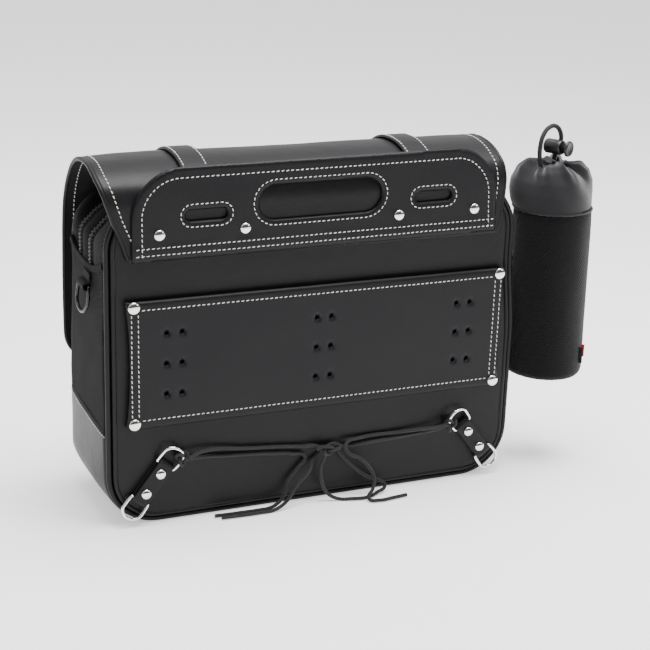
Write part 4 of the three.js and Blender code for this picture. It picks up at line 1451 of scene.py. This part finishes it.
def make_sliders():
    for name, y in (("main", MAIN_ZIP_Y), ("expander", EXPANDER_Y)):
        lo, hi = box(f"{name}_zip_slider")
        x, z = (lo[0] + hi[0]) / 2, lo[2]
        rows = []
        for s in np.linspace(-1, 1, 9):
            w = 4.4 - 1.3 * s
            crown = 3.0 * (1 - 0.3 * s * s)
            rows.append([
                (x + 6 * s, y + w * math.cos(a), z + 0.1 + crown * max(math.sin(a), 0) ** 0.8)
                for a in round_turn(20)
            ])
        mesh = merge_close(grid(f"{name}_slider_body", rows, closed_v=True, flip=True))
        place(mesh, f"{name}_slider", BLACK_METAL, [f"{name}_zip_slider"])
        near = [(x + 1, y - 2, z + 3.8), (x + 1, y + 2, z + 3.8)]
        far = [(x + 22, y + 3, z + 3.2), (x + 22, y - 3, z + 3.2)]
        pull = round_corners(near + far, 3)
        mesh = sweep(f"{name}_slider_pull", pull, ring_section(0.9, 8), closed=True)
        place(mesh, f"{name}_slider", BLACK_METAL)


def make_seams():
    """The white stitch row under the base leather's upper edge, on both sides."""
    rows = []
    for side in (-1, 1):
        line = []
        for y, crown in zip(np.linspace(BACK + 7, FRONT - 10, 30), bowed(30)):
            z = base_edge(y) - 4
            line.append((side * (HALF - 0.2 + 1.6 * crown + foot_swell(y, z)), y, z))
        rows.append((line, (side, 0, 0), False))
    stitch_rows("base_stitches", rows, "bag")


make_front()
make_sliders()
make_seams()

for inner in ("back_board", "base_board"):
    frame["nodes"][inner].data.materials.clear()
    frame["nodes"][inner].data.materials.append(BOARD)


# ------------------------------------------------------------------ floor and light
def make_studio():
    floor_mesh = bpy.data.meshes.new("floor")
    size = 6
    corners = [(-size, -size, 0), (size, -size, 0), (size, size, 0), (-size, size, 0)]
    floor_mesh.from_pydata(corners, [], [(0, 1, 2, 3)])
    floor = bpy.data.objects.new("floor", floor_mesh)
    bpy.context.scene.collection.objects.link(floor)
    pale = plain_material(
        "pale_floor", (0.9, 0.9, 0.9), 0.7, 60.0, 0.00002, 0.04,
        Emission_Color=(1, 1, 1, 1), Emission_Strength=0.6, Specular_IOR_Level=0.2,
    )
    floor_mesh.materials.append(pale)
    world = bpy.data.worlds.new("studio")
    bpy.context.scene.world = world
    world.use_nodes = True
    tree = world.node_tree
    background = tree.nodes["Background"]
    direction = tree.nodes.new("ShaderNodeTexCoord").outputs["Generated"]
    split = tree.nodes.new("ShaderNodeSeparateXYZ")
    tree.links.new(direction, split.inputs[0])
    ramp = tree.nodes.new("ShaderNodeMapRange")
    limits = {"From Min": -0.15, "From Max": 0.75, "To Min": 0.10, "To Max": 1.25}
    for socket, value in limits.items():
        ramp.inputs[socket].default_value = value
    tilt = tree.nodes.new("ShaderNodeMath")
    tilt.operation = "MULTIPLY_ADD"
    tilt.inputs[1].default_value = 0.75
    tree.links.new(split.outputs["Y"], tilt.inputs[0])
    tree.links.new(split.outputs["Z"], tilt.inputs[2])
    tree.links.new(tilt.outputs[0], ramp.inputs["Value"])
    tree.links.new(ramp.outputs["Result"], background.inputs["Strength"])
    background.inputs["Color"].default_value = (1, 1, 1, 1)
    for name, where, target, size, power in (
        ("top_softbox", (0.25, -0.1, 2.0), (0, 0, 0.2), 1.3, 88),
        ("left_softbox", (-1.5, 0.5, 1.2), (0, 0, 0.2), 0.7, 0.8),
        ("front_softbox", (1.3, -1.0, 1.0), (0, 0, 0.2), 0.5, 4),
    ):
        data = bpy.data.lights.new(name, "AREA")
        data.size = size
        data.energy = power
        lamp = bpy.data.objects.new(name, data)
        bpy.context.scene.collection.objects.link(lamp)
        lamp.location = where
        lamp.rotation_euler = (Vector(target) - Vector(where)).to_track_quat("-Z", "Y").to_euler()


make_studio()
